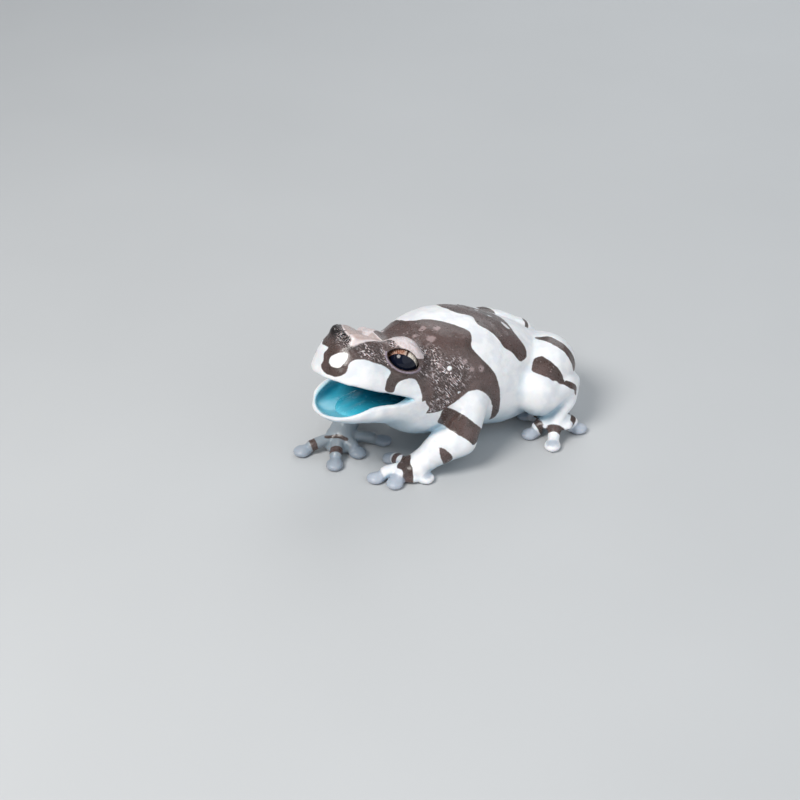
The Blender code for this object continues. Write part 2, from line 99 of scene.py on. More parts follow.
class Clay:
    """A block of clay: the distance to its surface, negative inside, on a stretched grid."""

    # Distances are kept up to FAR, and the slope of a form is taken as FLAT or more.
    FAR = 8.0
    FLAT = 0.02

    def __init__(self, *bands):
        self.axes = []
        for band in bands:
            runs = [np.arange(at, end, step) for (at, step), (end, _) in zip(band, band[1:])]
            self.axes.append(np.concatenate(runs).astype(np.float32))
        self.distance = np.full([len(axis) for axis in self.axes], self.FAR, np.float32)

    def window(self, low, high):
        """Give the slices of the grid that hold a box."""
        slices = []
        for axis, a, b in zip(self.axes, low, high):
            first = max(int(np.searchsorted(axis, a)) - 1, 0)
            last = min(int(np.searchsorted(axis, b)) + 2, len(axis))
            slices.append(slice(first, max(last, first + 3)))
        return tuple(slices)

    def places(self, part):
        """Give x, y and z over part of the grid."""
        return np.meshgrid(*[axis[s] for axis, s in zip(self.axes, part)], indexing="ij", sparse=True)

    def ball(self, centre, radii, turned=None, margin=3.0):
        """Measure to an ellipsoid whose axes lie along the rows of turned."""
        turned = np.eye(3) if turned is None else turned
        radii = np.broadcast_to(np.asarray(radii, float), 3)
        reach = np.sqrt(((turned.T * radii) ** 2).sum(1)) + margin
        part = self.window(centre - reach, centre + reach)
        away = [place - c for place, c in zip(self.places(part), centre)]
        first = second = 0
        for axis, radius in zip(turned, radii):
            along = sum(a * n for a, n in zip(away, axis))
            first = first + (along / radius) ** 2
            second = second + (along / radius**2) ** 2
        first, second = np.sqrt(first), np.sqrt(second)
        return part, (first * (first - 1) / np.maximum(second, 1e-3)).astype(np.float32)

    def limb(self, points, sides, ups, rows=6, margin=3.0):
        """Measure to a limb with elliptical sections and round ends along a smooth path."""
        path = smooth(np.column_stack((points, sides, ups)), rows * (len(points) - 1) + 1)
        spine, wide, tall = path[:, :3], path[:, 3], path[:, 4]
        reach = max(wide.max(), tall.max()) + margin
        part = self.window(spine.min(0) - reach, spine.max(0) + reach)
        distance = np.full([s.stop - s.start for s in part], self.FAR, np.float32)
        for k in range(len(spine) - 1):
            start, length = spine[k], np.linalg.norm(spine[k + 1] - spine[k])
            axis = (spine[k + 1] - start) / length
            side = np.cross(axis, (0.0, 0.0, 1.0))
            side /= np.linalg.norm(side)
            up = np.cross(side, axis)
            near = max(*wide[k:k + 2], *tall[k:k + 2]) + margin
            piece = self.window(np.minimum(start, spine[k + 1]) - near,
                                np.maximum(start, spine[k + 1]) + near)
            away = [place - s for place, s in zip(self.places(piece), start)]
            along, across, above = (sum(a * n for a, n in zip(away, way)) for way in (axis, side, up))
            share = np.clip(along / length, 0, 1)
            a = wide[k] + (wide[k + 1] - wide[k]) * share
            b = tall[k] + (tall[k + 1] - tall[k]) * share
            c = np.minimum(a, b)
            past = along - share * length
            first = np.sqrt((across / a) ** 2 + (above / b) ** 2 + (past / c) ** 2)
            second = np.sqrt((across / a**2) ** 2 + (above / b**2) ** 2 + (past / c**2) ** 2)
            home = tuple(slice(g.start - o.start, g.stop - o.start) for g, o in zip(piece, part))
            new = first * (first - 1) / np.maximum(second, 1e-3)
            distance[home] = np.minimum(distance[home], new)
        return part, distance

    def form(self, low, high, function):
        """Measure to the surface where a function is zero, by way of its own gradient."""
        part = self.window(low, high)
        value = function(*self.places(part)).astype(np.float32)
        slopes = np.gradient(value, *[axis[s] for axis, s in zip(self.axes, part)])
        steep = np.sqrt(sum(slope * slope for slope in slopes))
        return part, np.clip(value / np.maximum(steep, self.FLAT), -self.FAR, self.FAR)

    def add(self, shape, blend):
        """Blend a shape on."""
        part, distance = shape
        self.distance[part] = soft_min(self.distance[part], distance, blend)

    def cut(self, shape, blend):
        """Cut a shape out."""
        part, distance = shape
        self.distance[part] = soft_max(self.distance[part], -distance, blend)

    def read(self, points, distance=None):
        """Give the distance at many points, between the grid's own."""
        distance = self.distance if distance is None else distance
        cells, shares = [], []
        for n, axis in enumerate(self.axes):
            cell = np.clip(np.searchsorted(axis, points[:, n]) - 1, 0, len(axis) - 2)
            cells.append(cell)
            shares.append(np.clip((points[:, n] - axis[cell]) / (axis[cell + 1] - axis[cell]), 0, 1))
        total = 0
        for corner in np.ndindex(2, 2, 2):
            weight = 1
            for share, far in zip(shares, corner):
                weight = weight * (share if far else 1 - share)
            total = total + weight * distance[tuple(c + far for c, far in zip(cells, corner))]
        return total

    def outward(self, points, distance=None, step=0.3):
        """Give the direction out of the clay at many points."""
        ways = []
        for n in range(3):
            shift = np.zeros(3)
            shift[n] = step
            ways.append(self.read(points + shift, distance) - self.read(points - shift, distance))
        ways = np.stack(ways, 1)
        return ways / np.maximum(np.linalg.norm(ways, axis=1, keepdims=True), 1e-6)

    def surface(self):
        """Turn the clay's surface into points and four-sided faces, one point a grid cell."""
        inside = self.distance < 0
        cells = tuple(n - 1 for n in inside.shape)
        total = np.zeros((*cells, 3), np.float32)
        hits = np.zeros(cells, np.uint8)
        faces = []
        for way in range(3):
            low, high = [slice(None)] * 3, [slice(None)] * 3
            low[way], high[way] = slice(None, -1), slice(1, None)
            low, high = tuple(low), tuple(high)
            crossed = inside[low] != inside[high]
            index = np.argwhere(crossed)
            a, b = self.distance[low][crossed], self.distance[high][crossed]
            point = np.stack([self.axes[n][index[:, n]] for n in range(3)], 1)
            step = self.axes[way][index[:, way] + 1] - self.axes[way][index[:, way]]
            point[:, way] += a / (a - b) * step
            first, second = (n for n in range(3) if n != way)
            around = []
            for back in ((0, 0), (-1, 0), (-1, -1), (0, -1)):
                cell = index.copy()
                cell[:, first] += back[0]
                cell[:, second] += back[1]
                around.append(cell)
                np.add.at(total, tuple(cell.T), point)
                np.add.at(hits, tuple(cell.T), 1)
            face = np.stack([np.ravel_multi_index(cell.T, cells) for cell in around], 1)
            turned = (a < 0) != (way == 1)
            face[~turned] = face[~turned][:, ::-1]
            faces.append(face)
        used = hits > 0
        number = np.full(cells, -1, np.int64)
        number[used] = np.arange(used.sum())
        return total[used] / hits[used][:, None], number.ravel()[np.vstack(faces)]


clay = Clay(GRID_X, GRID_Y, GRID_Z)

# Trunk: distance back from the ears, height of the middle, half width and half height.
TRUNK = np.array((
    (-8.0, 16.6, 8.3, 7.6),
    (-2.0, 15.6, 10.3, 10.3),
    (5.0, 15.4, 12.2, 12.1),
    (12.0, 14.5, 13.4, 12.4),
    (19.0, 12.2, 13.6, 12.3),
    (26.0, 10.2, 12.4, 10.3),
    (32.0, 8.6, 9.8, 7.9),
    (36.5, 7.0, 6.6, 5.0),
    (39.0, 6.4, 3.2, 2.4),
))
TRUNK_POWER = 2.25
# Where the trunk starts to round off in front and at its end, and over what length.
TRUNK_FRONT = (-4.0, -5.0)
TRUNK_END = (36.5, 3.0)
TRUNK_ROOM = ((-18, -12, -3), (18, 42, 33))


def trunk_form(x, y, z):
    """The trunk: superellipses along the back, rounded off before the ears and at the vent."""
    height, wide, tall = (profile(TRUNK[:, (0, n)], y) for n in (1, 2, 3))
    front = np.maximum((y - TRUNK_FRONT[0]) / TRUNK_FRONT[1], 0)
    end = np.maximum((y - TRUNK_END[0]) / TRUNK_END[1], 0)
    power = TRUNK_POWER
    section = np.abs(x / wide) ** power + np.abs((z - height) / tall) ** power
    return (section + end**power + front**power) ** (1 / power) - 1


# Head: the jaws turn about a line through JAW. Angles are yaw to the right, pitch up and roll.
# Widths, heights and depths are pairs of the distance forward of JAW and the size there. POWERS
# round the section and the end; TIP and BACK say where it starts to round off, over what length.
JAW = np.array((0.2, -4.4, 16.8))
HEAD_TURN = (7.0, 27.5, 8.0)
CHIN_TURN = (7.0, -3.0, 8.0)
HEAD_WIDTHS = ((-9, 8.6), (-4, 9.5), (0, 9.7), (5, 9.2), (9, 8.7), (12, 8.4), (15, 8.0), (18, 7.6))
HEAD_HEIGHTS = ((-9, 7.6), (-4, 8.0), (0, 8.0), (5, 7.9), (9, 8.2), (12, 9.2), (15, 10.2), (18, 10.2))
HEAD_POWERS = (2.3, 2.6, 2.4)
HEAD_TIP = (9.0, 9.3)
HEAD_BACK = (-4.0, -5.0)
LIP_HEIGHT = 0.2
LIP_DROP = 0.6
SNOUT_LENGTH = 18.0
JAW_WIDTHS = ((-6, 9.4), (0, 9.7), (5, 9.4), (10, 8.8), (14, 8.4), (18, 8.2))
JAW_DEPTHS = ((-6, 10.0), (0, 8.6), (5, 5.8), (10, 3.8), (14, 3.2), (18, 3.0))
JAW_POWERS = (2.2, 2.0, 2.2)
JAW_TIP = (7.0, 9.8)
JAW_BACK = (-3.0, -6.0)
# The lower lip swells at its sides and on its right front: height, place forward and spread.
RIM_SWELL = (1.2, 8.5, 4.0)
RIM_RIGHT_SWELL = (1.2, 13.0, 3.5)
RIM_HALF_WIDTH = 6.0
SKULL_ROOM = ((-16, -30, 8), (16, 6, 37))
JAW_ROOM = ((-16, -30, 2), (16, 6, 30))


def directions(turn):
    """Give the forward, left and up directions of a head turned by yaw, pitch and roll."""
    yaw, pitch, roll = (math.radians(angle) for angle in turn)
    flat = np.array((-math.sin(yaw), -math.cos(yaw), 0.0))
    left = np.array((math.cos(yaw), -math.sin(yaw), 0.0))
    up = np.array((0.0, 0.0, 1.0))
    forward = math.cos(pitch) * flat + math.sin(pitch) * up
    top = math.cos(pitch) * up - math.sin(pitch) * flat
    side = math.cos(roll) * left + math.sin(roll) * top
    return np.array((forward, side, math.cos(roll) * top - math.sin(roll) * left))


HEAD = directions(HEAD_TURN)
CHIN = directions(CHIN_TURN)


def in_head(turned, point):
    """Give the place of a point measured forward, left and up of the line of the jaws."""
    return JAW + np.array(point, float) @ turned


def from_jaw(ways, x, y, z):
    """Measure places forward, left and up of the line of the jaws."""
    away = (x - JAW[0], y - JAW[1], z - JAW[2])
    return [sum(way[n] * away[n] for n in range(3)) for way in ways]


def lip_line(forward):
    """Give how far the upper lip hangs below the plane of the jaws."""
    return -LIP_HEIGHT - LIP_DROP * np.clip(forward / SNOUT_LENGTH, 0, 1) ** 3


def swell(forward, height, place, spread):
    """Give the height of a smooth swelling along the lower lip."""
    return height * np.exp(-((forward - place) / spread) ** 2)


def rim(forward, across):
    """Give the height of the lower lip above the plane of the jaw: more on its right front."""
    sides = swell(forward, *RIM_SWELL) * np.clip(np.abs(across) / RIM_HALF_WIDTH, 0, 1)
    return sides + swell(forward, *RIM_RIGHT_SWELL) * np.clip(-across / RIM_HALF_WIDTH, 0, 1)


def head_form(x, y, z):
    """The skull and snout, above the lips."""
    forward, across, above = from_jaw(HEAD, x, y, z)
    wide, tall = profile(HEAD_WIDTHS, forward), profile(HEAD_HEIGHTS, forward)
    tip = np.maximum((forward - HEAD_TIP[0]) / HEAD_TIP[1], 0)
    back = np.maximum((forward - HEAD_BACK[0]) / HEAD_BACK[1], 0)
    side, top, end = HEAD_POWERS
    total = np.abs(across / wide) ** side + (np.maximum(above, 0) / tall) ** top
    return (total + tip**end + back**2) ** (1 / end) - 1


def jaw_form(x, y, z):
    """The lower jaw and throat, below the lips."""
    forward, across, above = from_jaw(CHIN, x, y, z)
    wide, deep = profile(JAW_WIDTHS, forward), profile(JAW_DEPTHS, forward)
    tip = np.maximum((forward - JAW_TIP[0]) / JAW_TIP[1], 0)
    back = np.maximum((forward - JAW_BACK[0]) / JAW_BACK[1], 0)
    side, bottom, end = JAW_POWERS
    total = np.abs(across / wide) ** side + (np.maximum(-above, 0) / deep) ** bottom
    return (total + tip**end + back**2) ** (1 / end) - 1


clay.add(clay.form(*TRUNK_ROOM, trunk_form), blend=0.01)

part, skull = clay.form(*SKULL_ROOM, head_form)
forward, across, above = from_jaw(HEAD, *clay.places(part))
clay.add((part, soft_max(skull, lip_line(forward) - above, blend=0.8)), blend=2.0)

part, chin = clay.form(*JAW_ROOM, jaw_form)
forward, across, above = from_jaw(CHIN, *clay.places(part))
clay.add((part, soft_max(chin, above - LIP_HEIGHT - rim(forward, across), blend=0.8)), blend=1.2)

# Eyes: places forward, left and up of JAW in the head's own directions.
EYE_RADIUS = 3.45
EYES = {1: (4.4, 6.1, 6.5), -1: (4.4, -5.3, 5.3)}
# Brows: radius, how far in and down from the eye they sit, and the blend round them.
BROWS = {1: (4.35, 0.7, 0.0, 2.0), -1: (4.25, 0.35, 0.3, 1.2)}
# A ridge runs from each brow to its nostril: its start, measured from the eye, and two more places.
RIDGE_START = (2.4, -1.2, 1.4)
RIDGE_END = ((11.0, 4.3, 7.9), (14.8, 3.1, 8.1))
RIDGE_SIZES = ((1.2, 1.1, 1.0), (1.2, 1.0, 1.0))
NOSTRIL = (16.0, 1.9, 8.6)
NOSTRIL_SIZES = (0.55, 0.32, 0.32)

# Brows swell over the eyes, and a ridge runs on from each to its nostril.
for sign, eye in EYES.items():
    radius, inset, drop, blend = BROWS[sign]
    clay.add(clay.ball(in_head(HEAD, np.array(eye) - (0, inset * sign, drop)), radius), blend)
    mirror = np.array((1, sign, 1))
    ridge = np.vstack((eye + RIDGE_START * mirror, RIDGE_END * mirror))
    clay.add(clay.limb(in_head(HEAD, ridge), *RIDGE_SIZES), blend=1.6)

# Digits: heights along the arch at DIGIT_SHARES of the way to the pad, then over the pad's neck,
# and how thick they are there, as shares of DIGIT_RADIUS.
FINGER_ARCH = (1.95, 2.25, 1.75)
TOE_ARCH = (4.4, 3.6, 2.3)
DIGIT_RADIUS = 1.25
DIGIT_SHARES = (0.12, 0.42, 0.72)
DIGIT_SWELLS = (1.1, 1.0, 1.02, 0.82, 0.8)
DIGIT_FLATNESS = 0.92
# The neck lies this far before the middle of the pad.
PAD_NECK = 1.9
PAD_NECK_HEIGHTS = (1.2, 1.0)
PAD_RADIUS = 1.75
PAD_LENGTHENING = 1.04
PAD_HALF_HEIGHT = 0.95
PAD_CENTRE_HEIGHT = 0.8
# Webs: half width, distance from the palm or sole, and height. Between digits that stand far
# apart a web stays nearer to the palm.
FINGER_WEB = (1.5, 2.0, 1.0)
TOE_WEB = (1.7, 2.4, 3.2)
WEB_HALF_HEIGHT = 0.75
FAR_APART = 0.5


def add_digit(palm, tip, arch):
    """Add a finger or toe that arches down to a flat round pad on the floor."""
    reach = np.array((tip[0] - palm[0], tip[1] - palm[1]))
    length = np.linalg.norm(reach)
    reach /= length
    shares = (*DIGIT_SHARES, 1 - PAD_NECK / length, 1)
    heights = (*arch, *PAD_NECK_HEIGHTS)
    places = palm[:2] + np.outer(shares, reach * length)
    widths = np.multiply(DIGIT_SWELLS, DIGIT_RADIUS)
    arched = np.column_stack((places, heights))
    clay.add(clay.limb(arched, widths, widths * DIGIT_FLATNESS, rows=5, margin=2), blend=0.7)
    ways = np.array(((*reach, 0), (-reach[1], reach[0], 0), (0, 0, 1)))
    radii = (PAD_RADIUS * PAD_LENGTHENING, PAD_RADIUS, PAD_HALF_HEIGHT)
    clay.add(clay.ball(np.array((*tip, PAD_CENTRE_HEIGHT)), radii, ways, margin=2), blend=0.45)


def add_webs(palm, tips, spread, reach, height):
    """Stretch a low web of skin between neighbouring digits."""
    ways = [np.subtract(tip, palm[:2]) for tip in tips]
    ways = [way / np.linalg.norm(way) for way in ways]
    for one, other in zip(ways, ways[1:]):
        between = (one + other) / max(np.linalg.norm(one + other), FAR_APART)
        centre = np.array((*(palm[:2] + between * reach), height))
        clay.add(clay.ball(centre, (spread, spread, WEB_HALF_HEIGHT), margin=2), blend=0.8)


# Joints of the limbs and the tips of their digits, on the left (1) and on the right (-1).
ARMS = {
    1: {
        "shoulder": (9.8, 7.8, 14.4),
        "elbow": (12.9, 3.2, 6.8),
        "wrist": (10.2, -3.8, 3.4),
        "palm": (8.9, -6.6, 2.4),
        "tips": ((2.6, -6.3), (5.9, -13.0), (9.8, -11.2), (12.3, -5.4)),
    },
    -1: {
        "shoulder": (-9.5, 6.0, 14.5),
        "elbow": (-16.3, 1.0, 6.5),
        "wrist": (-9.8, -7.6, 4.4),
        "palm": (-8.4, -11.0, 2.8),
        "tips": ((-3.4, -3.4), (-3.2, -10.2), (-2.9, -16.5), (-11.0, -18.6)),
    },
}
LEGS = {
    1: {
        "hip": (4.6, 34.0, 10.0),
        "thigh": (10.4, 30.4, 12.2),
        "knee": (14.0, 23.6, 10.2),
        "shin": (15.8, 24.4, 9.8),
        "heel": (14.2, 32.6, 9.0),
        "sole": (16.6, 26.8, 4.8),
        "tips": ((9.4, 30.4), (8.5, 25.6), (14.4, 21.3), (20.5, 22.0), (19.4, 30.6)),
    },
    -1: {
        "hip": (-4.6, 34.0, 9.6),
        "thigh": (-10.0, 29.4, 11.0),
        "knee": (-14.0, 23.4, 9.8),
        "shin": (-15.8, 24.2, 9.6),
        "heel": (-14.2, 32.4, 8.8),
        "sole": (-16.6, 26.6, 4.8),
        "tips": ((-9.4, 30.2), (-8.8, 24.8), (-14.6, 20.8), (-20.8, 22.4), (-20.0, 30.9)),
    },
}

# Limb sections from the body outwards: half widths, then half heights.
UPPER_ARM = ((4.1, 4.3, 3.9, 3.3), (4.1, 4.3, 3.9, 3.3))
FOREARM = ((3.2, 3.5, 2.4), (3.2, 3.3, 2.2))
HAND = ((2.4, 2.8), (2.1, 1.6))
THIGH = ((5.1, 5.2, 4.6), (5.5, 5.8, 5.6))
SHANK = ((2.9, 2.7, 2.2), (3.3, 2.8, 2.2))
FOOT = ((2.0, 1.8, 2.3), (1.9, 1.7, 1.5))
SHOULDER_INSET = 0.8
UPPER_ARM_BOW = 0.3
FOREARM_RISE = 0.6
SHANK_BOW = (0.9, 0.2, 0.9)
HEEL_DROP = 2.0
FOOT_BOW = (1.6, -0.4, 0.4)

for sign, arm in ARMS.items():
    shoulder, elbow, wrist, palm = np.array(list(arm.values())[:4])
    bow = (shoulder + elbow) / 2 + (UPPER_ARM_BOW * sign, 0, 0)
    inset = shoulder * (SHOULDER_INSET, 1, 1)
    clay.add(clay.limb((inset, shoulder, bow, elbow), *UPPER_ARM), blend=1.0)
    middle = (elbow + wrist) / 2 + (0, 0, FOREARM_RISE)
    clay.add(clay.limb((elbow, middle, wrist), *FOREARM), blend=1.1)
    clay.add(clay.limb((wrist, palm), *HAND), blend=1.2)
    for tip in arm["tips"]:
        add_digit(palm, tip, FINGER_ARCH)
    add_webs(palm, arm["tips"], *FINGER_WEB)

for sign, leg in LEGS.items():
    hip, thigh, knee, shin, heel, sole = np.array(list(leg.values())[:6])
    mirror = np.array((sign, 1, 1))
    clay.add(clay.limb((hip, thigh, knee), *THIGH), blend=1.6)
    middle = (shin + heel) / 2 + mirror * SHANK_BOW
    clay.add(clay.limb((shin, middle, heel), *SHANK), blend=0.45)
    middle = (heel + sole) / 2 + mirror * FOOT_BOW
    clay.add(clay.limb((heel - (0, 0, HEEL_DROP), middle, sole), *FOOT), blend=0.7)
    for tip in leg["tips"]:
        add_digit(sole, tip, TOE_ARCH)
    add_webs(sole, leg["tips"], *TOE_WEB)

# What touches the floor is flat there.
FLOOR_ROOM = ((-30, -30, -2), (30, 50, 3))
part = clay.window(*FLOOR_ROOM)
clay.distance[part] = soft_max(clay.distance[part], -clay.places(part)[2], blend=0.3)
whole = clay.distance.copy()

# Hollows of the mouth: middle, half sizes and the blend of their edge.
PALATE = ((5.5, 0.0, -0.6), (8.5, 7.3, 2.2), 0.5)
BASIN = ((6.0, 0.0, 0.3), (10.1, 8.4, 2.7), 0.7)
GULLET = ((-1.4, 0.0, 0.2), (5.0, 5.6, 1.9), 0.8)
# The gape between the lips ends this far behind the line of the jaws.
GAPE_BACK = 1.0
MOUTH_ROOM = ((-16, -30, 8), (16, -2, 34))

# The mouth: a low roof, a basin behind the lower lip, a gullet and the gape between the lips.
for ways, (centre, radii, blend) in ((HEAD, PALATE), (CHIN, BASIN), (CHIN, GULLET)):
    clay.cut(clay.ball(in_head(ways, centre), radii, ways), blend)
part = clay.window(*MOUTH_ROOM)
forward, _, above = from_jaw(HEAD, *clay.places(part))
chin_forward, chin_across, chin_above = from_jaw(CHIN, *clay.places(part))
over_lip = rim(chin_forward, chin_across) - chin_above + LIP_HEIGHT
gape = soft_max(above - lip_line(forward), over_lip, blend=0.3)
clay.cut((part, soft_max(gape, -chin_forward - GAPE_BACK, blend=0.6)), blend=0.45)

# Lids: the opening between them faces LOOK, and its long way slopes down to the back. It is an
# almond with a half length, half heights above and below, and powers that point its corners.
LOOK = (0.58, 0.80, 0.15)
LOOK_LONG = (-0.79, 0.60, -0.13)
LID_LENGTH = 3.2
LID_HEIGHTS = (1.95, 1.75)
LID_CORNER = 1.35
LID_POWER = 1.7
# The rolled edge of the lids and the fold along the upper one: how far out they lie, and radii.
LID_ROLL = (0.35, 0.42)
LID_FOLD = (0.75, (0.35, 0.5, 0.62, 0.7, 0.75, 0.75, 0.7, 0.6, 0.4))
LID_FOLD_TURNS = (0.25, math.pi - 0.15)
LID_POINTS = 25
# The opening is cut from this far out of the middle of the eye.
LID_DEPTH = 0.5
# Room between eye and socket, how far the edges of the lids lie over the eye, and the least square
# of their distance out.
SOCKET_ROOM = 0.06
LID_LIFT = 0.1
LEAST_BULGE = 0.5


def look_ways(sign):
    """Give the outward, long and short directions of an eye's opening."""
    flip = np.array((1, sign, 1))
    out = np.array(LOOK) * flip
    out /= np.linalg.norm(out)
    long = np.array(LOOK_LONG) * flip
    long -= out * (long @ out)
    long /= np.linalg.norm(long)
    short = np.cross(out, long) * sign
    return np.array((out, long, short)) @ HEAD


def lid_edge(sign, turn, grow=0.0):
    """Give points on the edge of the lids, round an almond that is pointed at its corners."""
    out, long, short = look_ways(sign)
    centre = in_head(HEAD, EYES[sign])
    c, s = np.cos(turn), np.sin(turn)
    height = np.where(s > 0, LID_HEIGHTS[0], LID_HEIGHTS[1]) + grow
    a = c * (LID_LENGTH + grow)
    b = np.sign(s) * np.abs(s) ** LID_CORNER * height
    ways = np.outer(a, long) + np.outer(b, short)
    lift = np.sqrt(np.maximum((EYE_RADIUS + LID_LIFT) ** 2 - a**2 - b**2, LEAST_BULGE))
    return centre + ways + np.outer(lift, out)


def lid_opening(sign, away):
    """Give how far places lie outside the opening between the lids, out of the eye and above it."""
    out, long, short = (sum(a * n for a, n in zip(away, way)) for way in look_ways(sign))
    height = np.where(short > 0, LID_HEIGHTS[0], LID_HEIGHTS[1])
    shares = np.abs(long) / LID_LENGTH + 1e-3, np.abs(short) / height + 1e-3
    almond = (shares[0] ** LID_POWER + shares[1] ** LID_POWER) ** (1 / LID_POWER)
    steep = np.hypot(shares[0] ** (LID_POWER - 1) / LID_LENGTH, shares[1] ** (LID_POWER - 1) / height)
    return (almond - 1) * almond ** (LID_POWER - 1) / steep, out, short


# Lids: a rolled edge round each opening, with a heavier fold along the upper one.
for sign in EYES:
    grow, radius = LID_ROLL
    edge = lid_edge(sign, np.linspace(0, 2 * math.pi, LID_POINTS), grow)
    radii = np.full(LID_POINTS, radius)
    clay.add(clay.limb(edge, radii, radii, rows=1, margin=2), blend=0.5)
    grow, radii = LID_FOLD
    edge = lid_edge(sign, np.linspace(*LID_FOLD_TURNS, len(radii)), grow)
    clay.add(clay.limb(edge, radii, radii, rows=2, margin=2), blend=0.6)
    socket = in_head(HEAD, EYES[sign])
    clay.cut(clay.ball(socket, EYE_RADIUS + SOCKET_ROOM), blend=0.1)
    part = clay.window(socket - 2 * EYE_RADIUS, socket + 2 * EYE_RADIUS)
    away = [place - s for place, s in zip(clay.places(part), socket)]
    opening, out, _ = lid_opening(sign, away)
    clay.cut((part, soft_max(opening, LID_DEPTH - out, blend=0.3)), blend=0.25)
    nostril = in_head(HEAD, np.multiply(NOSTRIL, (1, sign, 1)))
    clay.cut(clay.ball(nostril, NOSTRIL_SIZES, HEAD, margin=1), blend=0.35)

points, faces = clay.surface()

# --- Skin: the surface ----------------------------------------------------------------------
# The clay's surface is evened out, drawn back onto the clay and then creased: folds behind the
# eyes and along the throat, a fold over each ear, and the fine unevenness of a real hide.


def even_out(points, faces, rounds=3, pull=0.5):
    """Even out the spacing of the points without leaving the clay's surface."""
    edges = np.vstack([faces[:, (n, (n + 1) % 4)] for n in range(4)])
    near = np.bincount(edges[:, 0], minlength=len(points))
    for _ in range(rounds):
        for n in range(3):
            mean = np.bincount(edges[:, 0], points[edges[:, 1], n], len(points)) / near
            points[:, n] += (mean - points[:, n]) * pull
        points -= clay.outward(points) * clay.read(points)[:, None]
    return points


points = even_out(points.astype(float), faces)
outward = clay.outward(points)
forward, across, above = ((points - JAW) @ HEAD.T).T

# How far from an edge its distance is kept, and how far from its line a crease is felt.
FAR_OUT = 2.5
CREASE_REACH = 2.45


def stroke(line, radii, steps=5):
    """Give how far points lie inside (+) or outside (-) a round stroke along a smooth line."""
    rows = smooth(np.column_stack((line, np.broadcast_to(radii, len(line)))), steps * len(line))
    best = np.full(len(points), -FAR_OUT)
    for start, end in zip(rows, rows[1:]):
        run = end[:3] - start[:3]
        share = np.clip((points - start[:3]) @ run / max(run @ run, 1e-9), 0, 1)
        gone = np.linalg.norm(points - start[:3] - share[:, None] * run, axis=1)
        best = np.maximum(best, start[3] + (end[3] - start[3]) * share - gone)
    return best


# Creases (-) and folds (+): a line in the directions of the head, the jaw or the body, and then
# height and width.
HEAD_CREASES = (
    (((2.4, 8.6, 8.6), (-1.5, 10.0, 6.6), (-4.6, 10.6, 3.6)), 0.28, 0.75),
    (((0.2, 9.6, 5.6), (-2.6, 10.3, 3.4), (-4.4, 10.4, 0.6)), -0.16, 0.5),
    (((1.0, 9.7, 3.9), (-1.2, 10.2, 2.0), (-2.4, 10.2, -0.4)), -0.12, 0.4),
    (((13.4, 6.2, 6.2), (10.6, 7.8, 5.2), (8.6, 8.4, 4.6)), -0.3, 1.7),
    (((15.9, 1.2, 8.9), (16.3, 2.0, 8.9), (15.9, 2.6, 8.6)), 0.2, 0.5),
)
CHIN_CREASES = (
    (((6.0, 9.6, -2.0), (0.5, 10.6, -2.9), (-4.0, 11.0, -3.4)), -0.18, 0.4),
    (((3.0, 9.4, -4.0), (-1.5, 10.2, -5.0), (-5.5, 10.4, -5.6)), -0.2, 0.42),
    (((7.5, 8.2, -3.6), (2.0, 8.8, -5.6), (-3.0, 9.4, -7.2)), -0.16, 0.4),
)
BODY_CREASES = (
    (((12.9, 2.9, 13.7), (11.4, 1.6, 11.4), (11.0, 0.6, 9.8)), -0.35, 0.45),
    (((11.4, -2.5, 8.1), (13.6, -2.4, 7.4), (14.8, -1.4, 6.5)), -0.25, 0.35),
    (((11.0, -1.2, 8.4), (13.4, -1.0, 8.0), (15.2, -0.2, 7.0)), -0.18, 0.3),
    (((12.0, -4.6, 5.2), (13.0, -4.4, 4.0), (12.6, -4.2, 2.6)), -0.15, 0.3),
)


def crease(lines, ways=None):
    """Raise (+) or press in (-) the surface along lines, on both sides of the body."""
    total = np.zeros(len(points))
    for line, height, width in lines:
        for sign in (1, -1):
            if ways is None:
                path = np.multiply(line, (sign, 1, 1))
            else:
                path = in_head(ways, np.multiply(line, (1, sign, 1)))
            gone = -stroke(path, 0.0)
            total += height * np.exp(-(gone / width) ** 2) * (gone < CREASE_REACH)
    return total


# The hide's unevenness: size of grain, seed and height. The lining has only LINING_SHARE of it.
HIDE_GRAINS = ((2.6, 3, 0.12), (1.3, 1, 0.06), (0.6, 2, 0.03))
GRAIN_SHIFT = (17.3, 5.1, 9.7)
LINING_SHARE = 0.2
# The roll of the lower lid and the groove below it: height, distance from the eye, and width.
LOWER_LID_RELIEF = ((0.16, 0.5, 0.25), (-0.2, 1.2, 0.3))
UNDER_EYE_FADE = 0.4
# Below this height the relief fades, so that pads and belly stay flat on the floor.
FLOOR_FADE = 0.5
# The lips turn in and the lining starts this far inside the uncut clay. Both lie before JAWS_BACK,
# below JAWS_TOP and over the hands.
LIP_DEPTH = 0.1
LINING_DEPTH = 0.4
JAWS_BACK = -6.0
JAWS_TOP = 3.5
OVER_HANDS = 8.0


def grain(size, seed):
    """Give smooth random values of a given size of grain at every point."""
    shift = Vector([seed * amount for amount in GRAIN_SHIFT])
    return np.array([noise.noise(Vector(point) / size + shift) for point in points])


